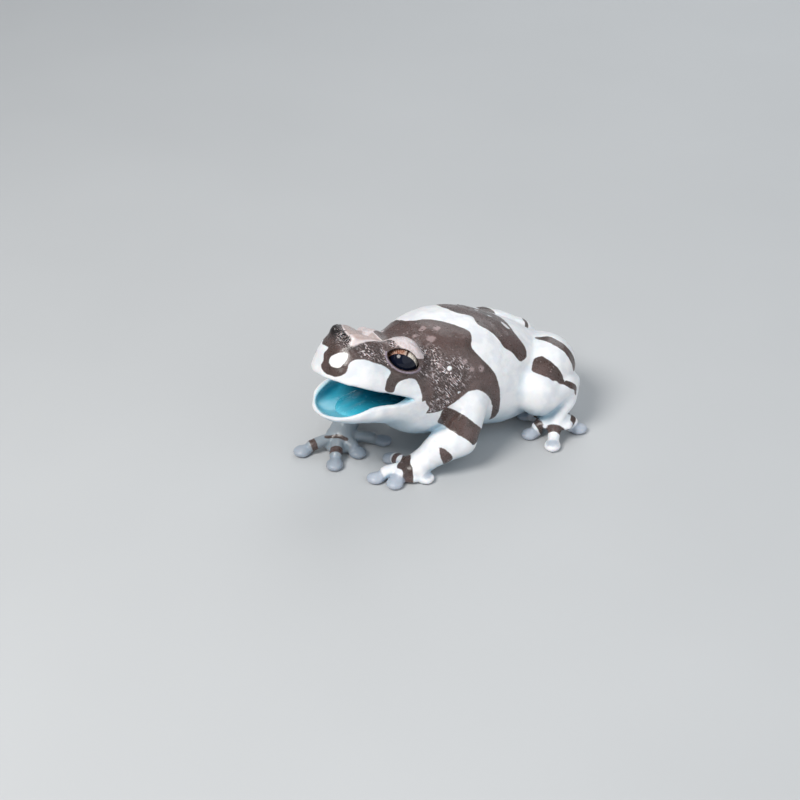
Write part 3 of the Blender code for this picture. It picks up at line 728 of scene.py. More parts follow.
relief = crease(HEAD_CREASES, HEAD) + crease(CHIN_CREASES, CHIN) + crease(BODY_CREASES)
depth = -clay.read(points, whole)
by_jaws = (forward > JAWS_BACK) & (above < JAWS_TOP) & (points[:, 2] > OVER_HANDS)
mouth = (depth > LINING_DEPTH) & by_jaws
relief[mouth] = 0
beside_eye = np.full(len(points), FAR_OUT)
under_eye = np.zeros(len(points))
for sign in EYES:
    opening, out, short = lid_opening(sign, (points - in_head(HEAD, EYES[sign])).T)
    near = (out > LID_DEPTH) & (opening < FAR_OUT)
    beside_eye[near] = opening[near]
    under_eye[near] = np.clip(1 - short[near] / UNDER_EYE_FADE, 0, 1)
for rise, at, width in LOWER_LID_RELIEF:
    relief += under_eye * rise * np.exp(-((beside_eye - at) / width) ** 2)
grains = sum(amount * grain(size, seed) for size, seed, amount in HIDE_GRAINS)
relief += np.where(mouth, LINING_SHARE, 1.0) * grains
off_floor = np.clip(points[:, 2] / FLOOR_FADE, 0, 1)
points += outward * (relief * off_floor)[:, None]

# --- Skin: the markings ---------------------------------------------------------------------
# The milky ground carries dark brown bands with crisp edges. Each edge is kept as a distance in
# millimetres at every point of the skin, so that the material can draw it sharp at any size.
# Markings of the head are drawn round the face and up, those of the trunk back and round it.

# Millimetres to a degree round the trunk.
GIRTH = 0.22
# Marks of the head stay over SKULL_LOWEST and before SKULL_END. Those of the trunk stay behind
# TRUNK_START or over TRUNK_LOWEST, measured from the line of the jaws.
SKULL_LOWEST = 12.0
SKULL_END = 3.0
TRUNK_START = -3.0
TRUNK_LOWEST = 5.0
# The face is a half circle of radius SNOUT_TURN in front of SNOUT_BACK and straight behind it.
SNOUT_TURN = 8.8
SNOUT_BACK = 9.0

turn_round = np.arctan2(across, forward - SNOUT_BACK)
face = np.where(forward > SNOUT_BACK, SNOUT_TURN * turn_round,
                np.sign(across) * (SNOUT_TURN * math.pi / 2 + SNOUT_BACK - forward))
middle, wide, tall = (profile(TRUNK[:, (0, n)], points[:, 1]) for n in (1, 2, 3))
round_trunk = np.degrees(np.arctan2(points[:, 0] / wide, (points[:, 2] - middle) / tall))


def stencil(outline, one, other, where, scale=1.0, steps=6):
    """Give how far points lie inside (+) or outside (-) a smooth closed outline."""
    loop = np.array(outline, float) * (1, scale)
    loop = smooth(np.vstack((loop[-1:], loop, loop[:2])), steps * (len(loop) + 2) + 1)[steps:-steps]
    other = other * scale
    result = np.full(len(points), -FAR_OUT)
    near = where.copy()
    for value, n in ((one, 0), (other, 1)):
        near &= (value > loop[:, n].min() - FAR_OUT) & (value < loop[:, n].max() + FAR_OUT)
    a, b = one[near], other[near]
    best = np.full(len(a), np.inf)
    inside = np.zeros(len(a), bool)
    for (a0, b0), (a1, b1) in zip(loop, np.roll(loop, -1, axis=0)):
        da, db = a1 - a0, b1 - b0
        share = np.clip(((a - a0) * da + (b - b0) * db) / max(da * da + db * db, 1e-9), 0, 1)
        best = np.minimum(best, (a - a0 - share * da) ** 2 + (b - b0 - share * db) ** 2)
        if b0 != b1:
            inside ^= ((b0 > b) != (b1 > b)) & (a < a0 + (b - b0) / db * da)
    result[near] = np.clip(np.where(inside, 1, -1) * np.sqrt(best), -FAR_OUT, FAR_OUT)
    return result


def hide_stroke(line, radii, rounds=6):
    """Draw a line onto the clay's surface and give the stroke along it."""
    line = np.array(line, float)
    for _ in range(rounds):
        line -= clay.outward(line) * clay.read(line)[:, None]
    return stroke(line, radii)


def trunk_spot(at, turn, radius):
    """Give how far points lie inside (+) or outside (-) a round spot on the trunk."""
    return radius - np.hypot(points[:, 1] - at, (round_trunk - turn) * GIRTH)


def across_limb(start, end, first, last, radius):
    """Give how far points lie inside (+) or outside (-) a band across a straight limb."""
    start, end = np.array(start, float), np.array(end, float)
    way = (end - start) / np.linalg.norm(end - start)
    along = (points - start) @ way
    gone = np.linalg.norm(points - start - np.outer(along, way), axis=1)
    return np.minimum.reduce([along - first, last - along, radius - gone])


# Round the left (+) and right (-) of the face from the tip of the snout, and up.
MASK_LEFT = (
    (-8.0, 14.0), (-8.0, 9.0), (-7.0, 5.8), (-4.4, 5.4), (-3.3, 4.8), (-0.6, 4.9), (-0.3, 4.4),
    (-0.6, 3.5), (0.1, 2.4), (0.0, 1.2), (1.0, 0.4), (2.4, 0.2), (3.9, 0.3), (5.0, 1.0), (5.6, 1.9),
    (5.6, 3.1), (5.8, 4.1), (6.8, 4.8), (8.4, 5.3), (10.5, 5.2), (12.3, 5.1), (13.9, 4.8),
    (14.8, 4.1), (14.3, 2.7), (14.1, 1.4), (14.3, 0.5), (15.4, 0.2), (16.4, 0.6), (16.5, 1.6),
    (17.2, 2.8), (18.3, 3.5), (19.4, 3.8), (20.7, 3.6), (21.8, 2.6), (22.6, 1.3), (22.9, 0.4),
    (23.2, -0.1), (23.9, 0.1), (24.5, -0.5), (25.4, -1.0), (26.3, -2.0), (27.5, -2.0),
    (28.5, -1.2), (30.0, 2.0), (30.0, 14.0),
)
MASK_RIGHT = (
    (-4.0, 14.0), (-4.4, 8.0), (-4.6, 5.4), (-5.4, 4.9), (-6.8, 4.9), (-8.4, 5.3), (-12.3, 5.0),
    (-14.4, 4.4), (-14.2, 2.7), (-14.0, 0.6), (-15.3, 0.2), (-16.6, 0.9), (-17.4, 2.6), (-19.4, 3.8),
    (-21.5, 2.9), (-22.9, 0.6), (-24.5, -0.5), (-26.3, -2.0), (-28.5, -1.2), (-30.0, 2.0),
    (-30.0, 14.0),
)
BLOTCH_RIGHT = (
    (-5.0, 5.6), (-4.6, 3.0), (-5.2, 1.2), (-6.6, 0.6), (-8.2, 1.2), (-8.4, 3.2), (-7.4, 5.2),
)
SNOUT_SPOT = (
    (1.6, 2.6), (1.5, 3.5), (2.3, 4.4), (3.7, 5.2), (4.6, 5.2), (4.9, 4.4), (4.6, 3.3), (4.0, 2.3),
    (2.9, 2.0), (2.1, 2.2),
)

# Pale patches on the snout and the brow, seen from above the head: forward and to its left.
SNOUT_PATCH = (
    (14.0, -3.2), (14.9, -1.0), (15.5, 1.2), (16.0, 3.4), (15.5, 4.3), (14.1, 4.8), (12.0, 4.9),
    (8.9, 4.6), (6.6, 3.9), (5.0, 2.6), (4.5, 0.6), (4.8, -2.4), (6.0, -4.6), (8.8, -5.6), (12.0, -5.4),
)
LID_PATCH = (
    (8.5, 3.7), (7.8, 4.6), (7.5, 5.5), (7.6, 6.3), (7.4, 7.1), (6.9, 7.9), (6.2, 8.5), (5.4, 9.0),
    (4.5, 9.5), (3.6, 9.8), (2.6, 9.7), (1.4, 9.0), (0.7, 7.8), (0.9, 6.6), (2.4, 5.7), (4.4, 5.0),
    (6.0, 4.1), (7.3, 3.4),
)
SNOUT_PATCH_LOWEST = 4.0
LID_PATCH_LOWEST = 1.5

# Back from the ears, and round the trunk in degrees from the middle of the back to the left.
SADDLE = (
    (2.4, -40), (3.5, -14), (5.9, -3), (7.8, 9), (9.8, 21), (11.0, 28), (10.4, 35), (9.1, 44),
    (10.0, 55), (11.8, 67), (12.8, 79), (13.3, 95), (13.8, 110), (13.9, 120), (13.2, 128), (11.4, 128),
    (8.0, 110), (5.0, 89), (2.9, 92), (0.6, 96.5), (-0.7, 99), (-2.8, 99), (-6.0, 96), (-9.0, 90),
    (-9.0, 0), (-9.0, -92), (-3.0, -96), (2.0, -92), (6.0, -104), (9.0, -124), (11.6, -124),
    (11.4, -104), (9.4, -82), (6.0, -62),
)
BAND = (
    (12.6, -14), (13.0, 0), (15.4, 10), (14.4, 21), (15.6, 28), (16.4, 34), (16.7, 41), (17.0, 48),
    (18.4, 52), (19.6, 60), (20.8, 60), (22.2, 57), (23.2, 51), (23.4, 43), (23.3, 33), (24.2, 19),
    (26.2, -5), (26.6, -22), (25.2, -40), (23.6, -58), (21.6, -70), (19.6, -68), (18.4, -52),
    (15.2, -40), (13.2, -28),
)
BAND_GAP = ((22.9, 14), (23.3, 19), (23.1, 24), (22.3, 25), (22.0, 21), (22.3, 16))
# Spots: milky ones and faint ones, each with its place and its radius.
TRUNK_SPOTS = (
    (2.6, 56, 0.5), (20.4, -8, 0.4), (21.3, 5, 0.4), (3.7, 82, 0.25), (18.6, -20, 0.35),
)
FAINT_SPOTS = (
    (1.2, 50, 0.5), (3.1, 6, 0.8), (5.4, 14, 0.7), (0.7, 8, 0.6), (2.6, 22, 0.9), (6.0, 54, 0.6),
    (7.1, 63, 0.5), (9.2, 64, 0.6), (2.8, 68, 0.5), (4.6, -12, 0.6), (1.0, 26, 0.5),
)
# A thin stroke on the skin over the vent.
RUMP = ((-4.8, 36.9, 14.3), (-3.6, 36.3, 14.4), (-2.1, 35.4, 14.4), (-0.8, 34.4, 15.0))

# On the left arm, seen from the side: back from the ears and up. SHOULDER is milky. SIDE and TOP
# say from where to the left and up to what height they are drawn.
SHOULDER = (
    (2.3, 14.8), (3.8, 15.8), (5.3, 16.8), (6.8, 17.0), (8.4, 16.2), (10.1, 14.3), (11.5, 11.7),
    (12.2, 8.8), (12.6, 6.5), (12.0, 1.0), (-6.0, 0.0), (-6.0, 8.0), (-1.6, 10.4), (-0.4, 12.8),
    (0.9, 14.0),
)
ARM_BAND = (
    (-0.2, 12.2), (0.0, 13.6), (0.9, 14.4), (2.2, 13.7), (3.3, 12.9), (4.6, 11.4), (6.2, 9.6),
    (7.4, 8.0), (5.8, 6.9), (3.8, 6.8), (2.2, 8.6), (0.6, 10.0), (-0.3, 10.9),
)
FOREARM_SPOT = ((-2.7, 7.3), (-1.6, 6.9), (-0.4, 4.6), (-1.1, 3.4), (-2.0, 3.4), (-2.9, 5.6))
ARM_SIDE = 7.5
ARM_BAND_TOP = 14.4
FOREARM_SIDE = 11.6

# On the hands: a band across the left one, seen from above, and a thin stroke on the right one.
HAND_BAND = (
    (6.2, -6.0), (7.6, -5.6), (9.0, -6.3), (9.9, -7.3), (10.8, -7.5), (11.9, -8.2), (12.0, -9.4),
    (11.1, -10.3), (10.1, -9.4), (8.5, -9.6), (7.6, -8.5), (6.7, -6.9),
)
HAND_TOP = 5.0
HAND_STROKE = ((-9.0, -13.8, 3.2), (-7.4, -12.2, 3.6), (-5.6, -11.2, 3.4))
THIN_RADIUS = 0.45

# On the right arm: radii of a milky sleeve from shoulder to wrist, and bands across it. Each band
# has the bone it crosses, where it starts and ends along it, and its reach round it.
SLEEVE_RADII = (5.0, 4.6, 4.0)
RIGHT_ARM_BANDS = ((0, 4.6, 8.6, 5.2), (1, 7.0, 9.2, 4.2))

# On the legs, mirrored on the right: an outline seen from above, and strokes (a line on the skin
# and its radii).
KNEE_PATCH = (
    (12.4, 23.2), (11.8, 24.0), (11.7, 24.8), (12.1, 25.8), (13.4, 26.0), (14.9, 26.5), (15.9, 26.9),
    (17.0, 27.6), (17.8, 27.4), (17.6, 25.7), (17.0, 24.0), (15.8, 22.7), (14.5, 22.1), (13.4, 22.0),
)
KNEE_LOWEST = 11.5
LEG_STROKES = (
    (
        ((6.6, 30.1, 17.2), (8.1, 30.6, 17.6), (10.3, 30.7, 18.0), (12.2, 31.2, 17.6),
         (13.6, 31.9, 16.4), (14.5, 32.4, 15.0), (14.9, 32.8, 13.2)),
        (0.6, 0.95, 1.15, 1.2, 1.25, 1.3, 1.2),
    ),
    (
        ((17.6, 27.8, 12.1), (18.0, 28.6, 11.6), (18.2, 29.9, 10.7), (18.2, 31.0, 8.8)),
        (0.65, 0.7, 0.6, 0.5),
    ),
    (((17.9, 26.8, 6.0), (18.4, 28.2, 5.4), (18.2, 29.8, 4.8)), (0.2, 0.35, 0.3)),
)

# Bands across single digits, by side and number: where they start and end, from the middle of the
# pad, how thick the digit may be, and the share of the palm's height that the digit points to.
FINGER_BANDS = {(-1, 4): (1.9, 3.2), (-1, 3): (2.1, 3.7), (1, 1): (2.1, 3.6)}
TOE_BANDS = {
    (1, 3): (1.9, 3.5), (1, 4): (2.2, 4.0), (1, 2): (3.6, 4.6), (1, 5): (2.0, 3.4),
    (-1, 3): (1.9, 3.5), (-1, 4): (2.2, 4.0), (-1, 2): (2.0, 3.0), (-1, 5): (2.0, 3.4),
}
DIGIT_BAND_RADIUS = 2.1
DIGIT_SLOPE = 0.8
# The grey of a pad reaches this far over its rim, and less far on the two that are nearly milky.
PAD_MARGIN = 0.25
PALE_PAD = (1, 4)
PALE_PAD_MARGIN = -0.35

to_left, y_back, height = points.T
left_arm = to_left > ARM_SIDE
on_skull = np.minimum(height - SKULL_LOWEST, SKULL_END - y_back)
on_trunk = np.maximum(TRUNK_START - forward, above - TRUNK_LOWEST)
skull_part, trunk_part = on_skull > -FAR_OUT, on_trunk > -FAR_OUT
right_arm = np.array(list(ARMS[-1].values())[:3])

masks = [stencil(outline, face, above, skull_part) for outline in (MASK_LEFT, MASK_RIGHT, BLOTCH_RIGHT)]
bands = [stencil(outline, y_back, round_trunk, trunk_part, GIRTH) for outline in (SADDLE, BAND)]
dark = np.maximum(np.minimum(np.maximum.reduce(masks), on_skull),
                  np.minimum(np.maximum.reduce(bands), on_trunk))

gaps = [trunk_spot(*row) for row in TRUNK_SPOTS]
gaps.append(stencil(SNOUT_SPOT, face, above, skull_part))
gaps.append(stencil(BAND_GAP, y_back, round_trunk, trunk_part, GIRTH))
gaps.append(stencil(SHOULDER, y_back, height, left_arm))
gaps.append(stroke(right_arm, SLEEVE_RADII))
dark = np.minimum(dark, -np.maximum.reduce(gaps))

marks = [hide_stroke(line, THIN_RADIUS) for line in (RUMP, HAND_STROKE)]
marks.append(stencil(ARM_BAND, y_back, height, left_arm & (height < ARM_BAND_TOP)))
marks.append(stencil(FOREARM_SPOT, y_back, height, to_left > FOREARM_SIDE))
marks.append(stencil(HAND_BAND, to_left, y_back, height < HAND_TOP))
marks.append(stencil(KNEE_PATCH, np.abs(to_left), y_back, height > KNEE_LOWEST))
for line, radii in LEG_STROKES:
    marks += [hide_stroke(np.multiply(line, (sign, 1, 1)), radii) for sign in LEGS]
for bone, first, last, reach in RIGHT_ARM_BANDS:
    marks.append(across_limb(right_arm[bone], right_arm[bone + 1], first, last, reach))

pad = np.full(len(points), -FAR_OUT)
for limbs, base, bands in ((ARMS, "palm", FINGER_BANDS), (LEGS, "sole", TOE_BANDS)):
    for sign, limb in limbs.items():
        root = np.multiply(limb[base], (1, 1, DIGIT_SLOPE))
        for number, tip in enumerate(limb["tips"], 1):
            digit = (sign, number)
            centre = np.array((*tip, PAD_CENTRE_HEIGHT))
            reach = PAD_RADIUS + (PALE_PAD_MARGIN if digit == PALE_PAD else PAD_MARGIN)
            pad = np.maximum(pad, reach - np.linalg.norm(points - centre, axis=1))
            if digit in bands:
                marks.append(across_limb(centre, root, *bands[digit], DIGIT_BAND_RADIUS))
dark = np.maximum.reduce([dark, *marks])

# The black line at the eye and the lilac painted highlight on the roll of the lower lid: half their
# width, how far out the lilac highlight lies, and how far under the eye it starts.
LINER = 0.15
LILAC_AT = 0.5
LILAC_UNDER = 0.3

cream = stencil(SNOUT_PATCH, forward, across, skull_part & (above > SNOUT_PATCH_LOWEST))
on_left = across > 0
brow_across = np.where(on_left, across, EYES[1][1] + EYES[-1][1] - across)
over_eye = above - np.where(on_left, EYES[1][2], EYES[-1][2]) - LID_PATCH_LOWEST
pale_lid = stencil(LID_PATCH, forward, brow_across, skull_part & (over_eye > -FAR_OUT))
pale_lid = np.minimum(pale_lid, over_eye)
liner = LINER - beside_eye
# Where the lilac painted highlight lies along the roll of the lower lid.
lower_lid_highlight = np.where(under_eye > LILAC_UNDER, LINER - np.abs(beside_eye - LILAC_AT), -1.0)

# Where glossy granules stand close together: place, reach and share, in the head's directions and
# then in the body's. They start GRANULE_EDGE inside the dark hide, thicken over a further width, and
# keep EYE_MARGIN from the line round the eye.
HEAD_GRANULES = (
    ((12.0, 6.6, 6.2), 3.0, 1.0), ((8.8, 7.4, 6.0), 1.6, 1.0), ((15.0, 1.5, 8.6), 3.0, 0.9),
    ((7.6, 6.6, 9.2), 1.6, 0.9), ((-1.0, 7.4, 8.4), 2.6, 1.0), ((-4.6, 10.0, 5.4), 3.4, 1.0),
    ((-5.0, 10.4, 1.0), 2.6, 0.9), ((0.4, 9.4, 5.6), 1.8, 0.8),
)
BODY_GRANULES = (
    ((10.4, 3.0, 21.0), 4.0, 0.8), ((9.6, -2.0, 14.2), 3.0, 0.9), ((2.0, 0.0, 27.0), 4.0, 0.3),
)
LEAST_GRANULAR = 0.08
GRANULE_EDGE = (0.15, 0.3)
EYE_MARGIN = 0.3
# Darker hide at the nostrils: its place forward and its spread, the height it starts at and its rise.
NOSTRIL_DARK_PLACE = (15.8, 2.0, 5.5, 2.0)
# Painted shadow of the head on the right hand: full within the fade distance of its middle, gone at twice
# that.
HAND_SHADOW_MIDDLE = (-7.0, -11.0, 1.5)
HAND_SHADOW_FADE = 6.5
HAND_SHADOW_TOP = 8.0
# Painted blue shade: in creases it reaches the first distance out of them. On what faces down it grows
# with its slope, less a little, and starts over the floor; a little of it is the hide's own bluish tint.
CREASE_SHADE_REACH = 1.1
UNDERSIDE_SHADE = 0.8
UNDERSIDE_SLOPE = (1.4, 0.1)
UNDERSIDE_LOWEST = 1.5

granular = np.full(len(points), LEAST_GRANULAR)
patches = [(in_head(HEAD, centre), reach, share) for centre, reach, share in HEAD_GRANULES]
for centre, reach, share in (*patches, *BODY_GRANULES):
    gone = np.linalg.norm(points - centre, axis=1)
    granular = np.maximum(granular, share * np.exp(-(gone / reach) ** 2))
bare = (cream < 0) & (pale_lid < 0) & (liner < -EYE_MARGIN) & (lower_lid_highlight < 0) & ~mouth
granular *= np.clip((dark - GRANULE_EDGE[0]) / GRANULE_EDGE[1], 0, 1) * bare

# Painted shade: how deep in a crease each point lies, and how far it faces down.
crease_and_underside_shade = np.clip(CREASE_SHADE_REACH - clay.read(points + outward * CREASE_SHADE_REACH), 0, 1)
facing_down = np.clip(-outward[:, 2] * UNDERSIDE_SLOPE[0] - UNDERSIDE_SLOPE[1], 0, 1)
crease_and_underside_shade = np.maximum(crease_and_underside_shade, UNDERSIDE_SHADE * facing_down * (height > UNDERSIDE_LOWEST))
at, spread, lowest, rise = NOSTRIL_DARK_PLACE
nostril_darkening = np.exp(-((forward - at) / spread) ** 2) * np.clip((above - lowest) / rise, 0, 1)
# Painted shadow on the right hand under the head, by distance from its middle.
under_head = 2 - np.linalg.norm(points - HAND_SHADOW_MIDDLE, axis=1) / HAND_SHADOW_FADE

skin_values = {
    "dark": dark,
    "cream": cream,
    "lining": np.where(by_jaws & (depth > LIP_DEPTH), depth, -1.0),
    "pad": pad,
    "crease_and_underside_shade": crease_and_underside_shade,
    "granular": granular,
    "liner": liner,
    "lower_lid_highlight": lower_lid_highlight,
    "pale_lid": pale_lid,
    "nostril_darkening": nostril_darkening,
    "spots": np.maximum.reduce([trunk_spot(*row) for row in FAINT_SPOTS]),
    "hand_shadow": np.clip(under_head, 0, 1) * (height < HAND_SHADOW_TOP),
    "gullet": ((points - JAW) @ CHIN.T)[:, 0],
}

# --- Skin: the material ---------------------------------------------------------------------
# Milky white with painted blue shade in the creases and underneath and painted grey shadow on the
# right hand under the head, warm dark brown bands, a pinkish cream patch on the snout and lids, a
# lilac painted highlight on the lower lids, pinkish painted highlights on the granular hide, grey
# pads and a cyan mouth darkened inside by painted shade. The hide is thin, moist and finely granular.


def node(tree, kind, inputs=(), **settings):
    """Add a node, with its settings, and give or link its inputs, by name or by number."""
    made = tree.nodes.new(kind)
    for name, value in settings.items():
        setattr(made, name, value)
    for name, value in dict(inputs).items():
        if isinstance(value, bpy.types.NodeSocket):
            tree.links.new(value, made.inputs[name])
        else:
            made.inputs[name].default_value = value
    return made


def new_material(name):
    """Make an empty material and give it with its tree and the places on the piece."""
    made = bpy.data.materials.new(name)
    made.use_nodes = True
    made.node_tree.nodes.clear()
    return made, made.node_tree, node(made.node_tree, "ShaderNodeTexCoord").outputs["Object"]


def add_shader(tree, inputs):
    """End a material with its shader and its output."""
    shader = node(tree, "ShaderNodeBsdfPrincipled", inputs)
    node(tree, "ShaderNodeOutputMaterial", {"Surface": shader.outputs["BSDF"]})


def new_piece(name, places, faces, material, values):
    """Make a smooth piece from places in the clay, with named values at each of them."""
    mesh = bpy.data.meshes.new(name)
    mesh.from_pydata(((places - FLOOR_CENTRE) * MM).tolist(), [], faces)
    mesh.shade_smooth()
    mesh.materials.append(material)
    for label, value in values.items():
        layer = mesh.attributes.new(label, "FLOAT", "POINT")
        layer.data.foreach_set("value", value.astype(np.float32))
    piece = bpy.data.objects.new(name, mesh)
    bpy.context.scene.collection.objects.link(piece)
    return piece


def sized_noise(tree, where, size, detail=2.0):
    """Noise whose grain has a size in millimetres."""
    inputs = {"Vector": where, "Scale": 1 / (size * MM), "Detail": detail}
    return node(tree, "ShaderNodeTexNoise", inputs).outputs["Fac"]


def pebbles(tree, where, size):
    """Give the distance from the middle of the nearest pebble of a size in millimetres."""
    inputs = {"Vector": where, "Scale": 1 / (size * MM)}
    return node(tree, "ShaderNodeTexVoronoi", inputs).outputs["Distance"]


def attribute(tree, name):
    """Read one of the skin's values."""
    return node(tree, "ShaderNodeAttribute", attribute_name=name).outputs["Fac"]


def sums(tree, operation, *values):
    """Do a sum on values and links."""
    return node(tree, "ShaderNodeMath", dict(enumerate(values)), operation=operation).outputs[0]


def step(tree, value, low, high, start=0.0, end=1.0):
    """Go smoothly from start to end as a value goes from low to high."""
    inputs = {"Value": value, "From Min": low, "From Max": high, "To Min": start, "To Max": end}
    return node(tree, "ShaderNodeMapRange", inputs, interpolation_type="SMOOTHSTEP").outputs["Result"]


def mix(tree, share, one, other):
    """Mix two colours, which are the node's inputs 6 and 7 and its output 2."""
    one, other = ((*value, 1.0) if isinstance(value, tuple) else value for value in (one, other))
    return node(tree, "ShaderNodeMix", {0: share, 6: one, 7: other}, data_type="RGBA").outputs[2]


# Colours of the hide and of the lining of the mouth.
MILK = (0.87, 0.87, 0.88)
MILK_SHADE = (0.78, 0.79, 0.82)
SHADE_BLUE = (0.40, 0.53, 0.62)
BROWN = (0.060, 0.040, 0.034)
BROWN_PALE = (0.120, 0.078, 0.072)
BROWN_DEEP = (0.042, 0.026, 0.022)
NEAR_BLACK = (0.010, 0.007, 0.007)
SPECK = (0.42, 0.32, 0.32)
PAINTED_GLINT = (0.80, 0.70, 0.71)
CREAM = (0.50, 0.39, 0.355)
CREAM_SHADE = (0.45, 0.345, 0.33)
CREAM_EDGE = (0.74, 0.65, 0.65)
LID_CREAM = (0.70, 0.62, 0.63)
PAD_GREY = (0.36, 0.41, 0.49)
LID_LILAC_HIGHLIGHT = (0.34, 0.28, 0.35)
LIP_PALE = (0.45, 0.72, 0.80)
MOUTH_LIGHT = (0.22, 0.64, 0.78)
MOUTH_CYAN = (0.045, 0.47, 0.62)
MOUTH_SHADED = (0.008, 0.20, 0.29)
HAND_SHADOW_GREY = (0.20, 0.24, 0.275)

# Millimetres forward of the line of the jaws between which the lining's colours change: the second change
# is painted shade deeper in the mouth.
LIGHT_TO_CYAN = (14.5, 10.0)
CYAN_TO_SHADED = (9.5, 1.5)

# Sizes of the hide's unevenness in millimetres. Streaks run down and back.
COARSE_SIZE = 1.5
FINE_SIZE = 0.45
MOTTLE_SIZE = 3.0
TONE_SIZE = 5.0
SPECK_SIZE = 0.55
PEBBLE_SIZE = 0.36
STREAK_SIZE = 0.28
STREAK_TURN = (math.radians(35), math.radians(-15), 0.0)
STREAK_STRETCH = (1.0, 1.0, 4.5)
# How far the coarse and the fine unevenness fray the edge of a marking, in millimetres.
COARSE_FRAY = 0.36
FINE_FRAY = 0.14


def mouth_colour(tree):
    """Give the lining's colour, pale at the lip and darkened by painted shade to deep blue-green at the
    gullet.
    """
    gullet = attribute(tree, "gullet")
    front = mix(tree, step(tree, gullet, *LIGHT_TO_CYAN), MOUTH_LIGHT, MOUTH_CYAN)
    return mix(tree, step(tree, gullet, *CYAN_TO_SHADED), front, MOUTH_SHADED)


def frayed(tree, name, fray, share=1.0):
    """Read the distance to a marking's edge and fray that edge."""
    return sums(tree, "MULTIPLY_ADD", fray, share, attribute(tree, name))


skin_material, tree, where = new_material("milk_frog_hide")
coarse, fine = sized_noise(tree, where, COARSE_SIZE), sized_noise(tree, where, FINE_SIZE)
mottle = sized_noise(tree, where, MOTTLE_SIZE, 4.0)
tone = sized_noise(tree, where, TONE_SIZE, 1.0)
fray = sums(tree, "ADD", sums(tree, "MULTIPLY_ADD", coarse, COARSE_FRAY, -COARSE_FRAY / 2),
            sums(tree, "MULTIPLY_ADD", fine, FINE_FRAY, -FINE_FRAY / 2))
dark, grainy, hand_shadow = (attribute(tree, name) for name in ("dark", "granular", "hand_shadow"))

# The milky ground: painted blue shade in the creases and underneath, and painted grey shadow on the right
# hand under the head.
milk = mix(tree, step(tree, mottle, 0.42, 0.62), MILK, MILK_SHADE)
milk = mix(tree, step(tree, attribute(tree, "crease_and_underside_shade"), 0.05, 0.9), milk, SHADE_BLUE)
# Painted shadow: the right hand under the head turns dark grey.
milk = mix(tree, sums(tree, "MULTIPLY", hand_shadow, 0.9), milk, HAND_SHADOW_GREY)

# The dark bands: paler inside, darker between the grains, with pale specks and faint spots.
in_dark = step(tree, frayed(tree, "dark", fray), -0.09, 0.13)
paler = step(tree, mottle, 0.38, 0.66, 0.0, 0.6)
paler = sums(tree, "ADD", paler, step(tree, tone, 0.4, 0.6, 0.0, 0.4))
brown = mix(tree, paler, BROWN, BROWN_PALE)
brown = mix(tree, step(tree, dark, 0.5, 2.2, 0.0, 0.6), brown, BROWN_PALE)
brown = mix(tree, step(tree, fine, 0.5, 0.75, 0.0, 0.55), brown, BROWN_DEEP)
brown = mix(tree, step(tree, grainy, 0.1, 0.8, 0.0, 0.7), brown, BROWN_DEEP)
specks = step(tree, pebbles(tree, where, SPECK_SIZE), 0.5, 0.2)
specks = sums(tree, "MULTIPLY", specks, step(tree, grainy, 0.2, 0.9))
specks = sums(tree, "MULTIPLY", specks, step(tree, mottle, 0.4, 0.6, 0.15, 0.45))
brown = mix(tree, specks, brown, SPECK)
brown = mix(tree, step(tree, frayed(tree, "spots", fray, 3.5), -0.3, 0.35, 0.0, 0.7), brown, SPECK)
brown = mix(tree, attribute(tree, "nostril_darkening"), brown, NEAR_BLACK)
colour = mix(tree, in_dark, milk, brown)

# The pale patches on snout and lids, the lines round the eyes with the lilac painted highlight on the
# lower lid, and the pads.
cream_edge = frayed(tree, "cream", fray, 0.6)
cream = mix(tree, step(tree, fine, 0.4, 0.65), CREAM, CREAM_SHADE)
cream = mix(tree, step(tree, cream_edge, 0.55, 0.1), cream, CREAM_EDGE)
colour = mix(tree, step(tree, cream_edge, -0.08, 0.1), colour, cream)
lid = mix(tree, step(tree, fine, 0.42, 0.7, 0.0, 0.6), LID_CREAM, CREAM)
colour = mix(tree, step(tree, frayed(tree, "pale_lid", fray, 0.6), -0.08, 0.1), colour, lid)
# Painted highlight: a thin lilac line along the roll of the lower lid.
colour = mix(tree, step(tree, attribute(tree, "lower_lid_highlight"), -0.12, 0.15), colour, LID_LILAC_HIGHLIGHT)
colour = mix(tree, step(tree, attribute(tree, "liner"), -0.1, 0.06), colour, NEAR_BLACK)
# The pads of the right hand take part of the same painted shadow.
pads = mix(tree, sums(tree, "MULTIPLY", hand_shadow, 0.5), PAD_GREY, HAND_SHADOW_GREY)
colour = mix(tree, step(tree, frayed(tree, "pad", fray), -0.25, 0.25, 0.0, 0.85), colour, pads)

# The lining of the mouth, from the pale lip inwards, darkened by painted shade deeper in.
lining = frayed(tree, "lining", fray, 0.5)
colour = mix(tree, step(tree, lining, -0.1, 0.35), colour, LIP_PALE)
colour = mix(tree, step(tree, lining, 0.35, 1.0), colour, mouth_colour(tree))

# Painted highlights: pinkish streaks painted where granules stand close together, as glints of wet skin.
streak_inputs = {"Vector": where, "Rotation": STREAK_TURN, "Scale": STREAK_STRETCH}
along = node(tree, "ShaderNodeMapping", streak_inputs, vector_type="TEXTURE").outputs["Vector"]
streaks = step(tree, sized_noise(tree, along, STREAK_SIZE), 0.52, 0.58)
streaks = sums(tree, "MULTIPLY", streaks, step(tree, grainy, 0.1, 0.7))
painted_glints = sums(tree, "MULTIPLY", streaks, step(tree, coarse, 0.4, 0.6, 0.25, 1.0))
colour = mix(tree, sums(tree, "MULTIPLY", painted_glints, in_dark), colour, PAINTED_GLINT)

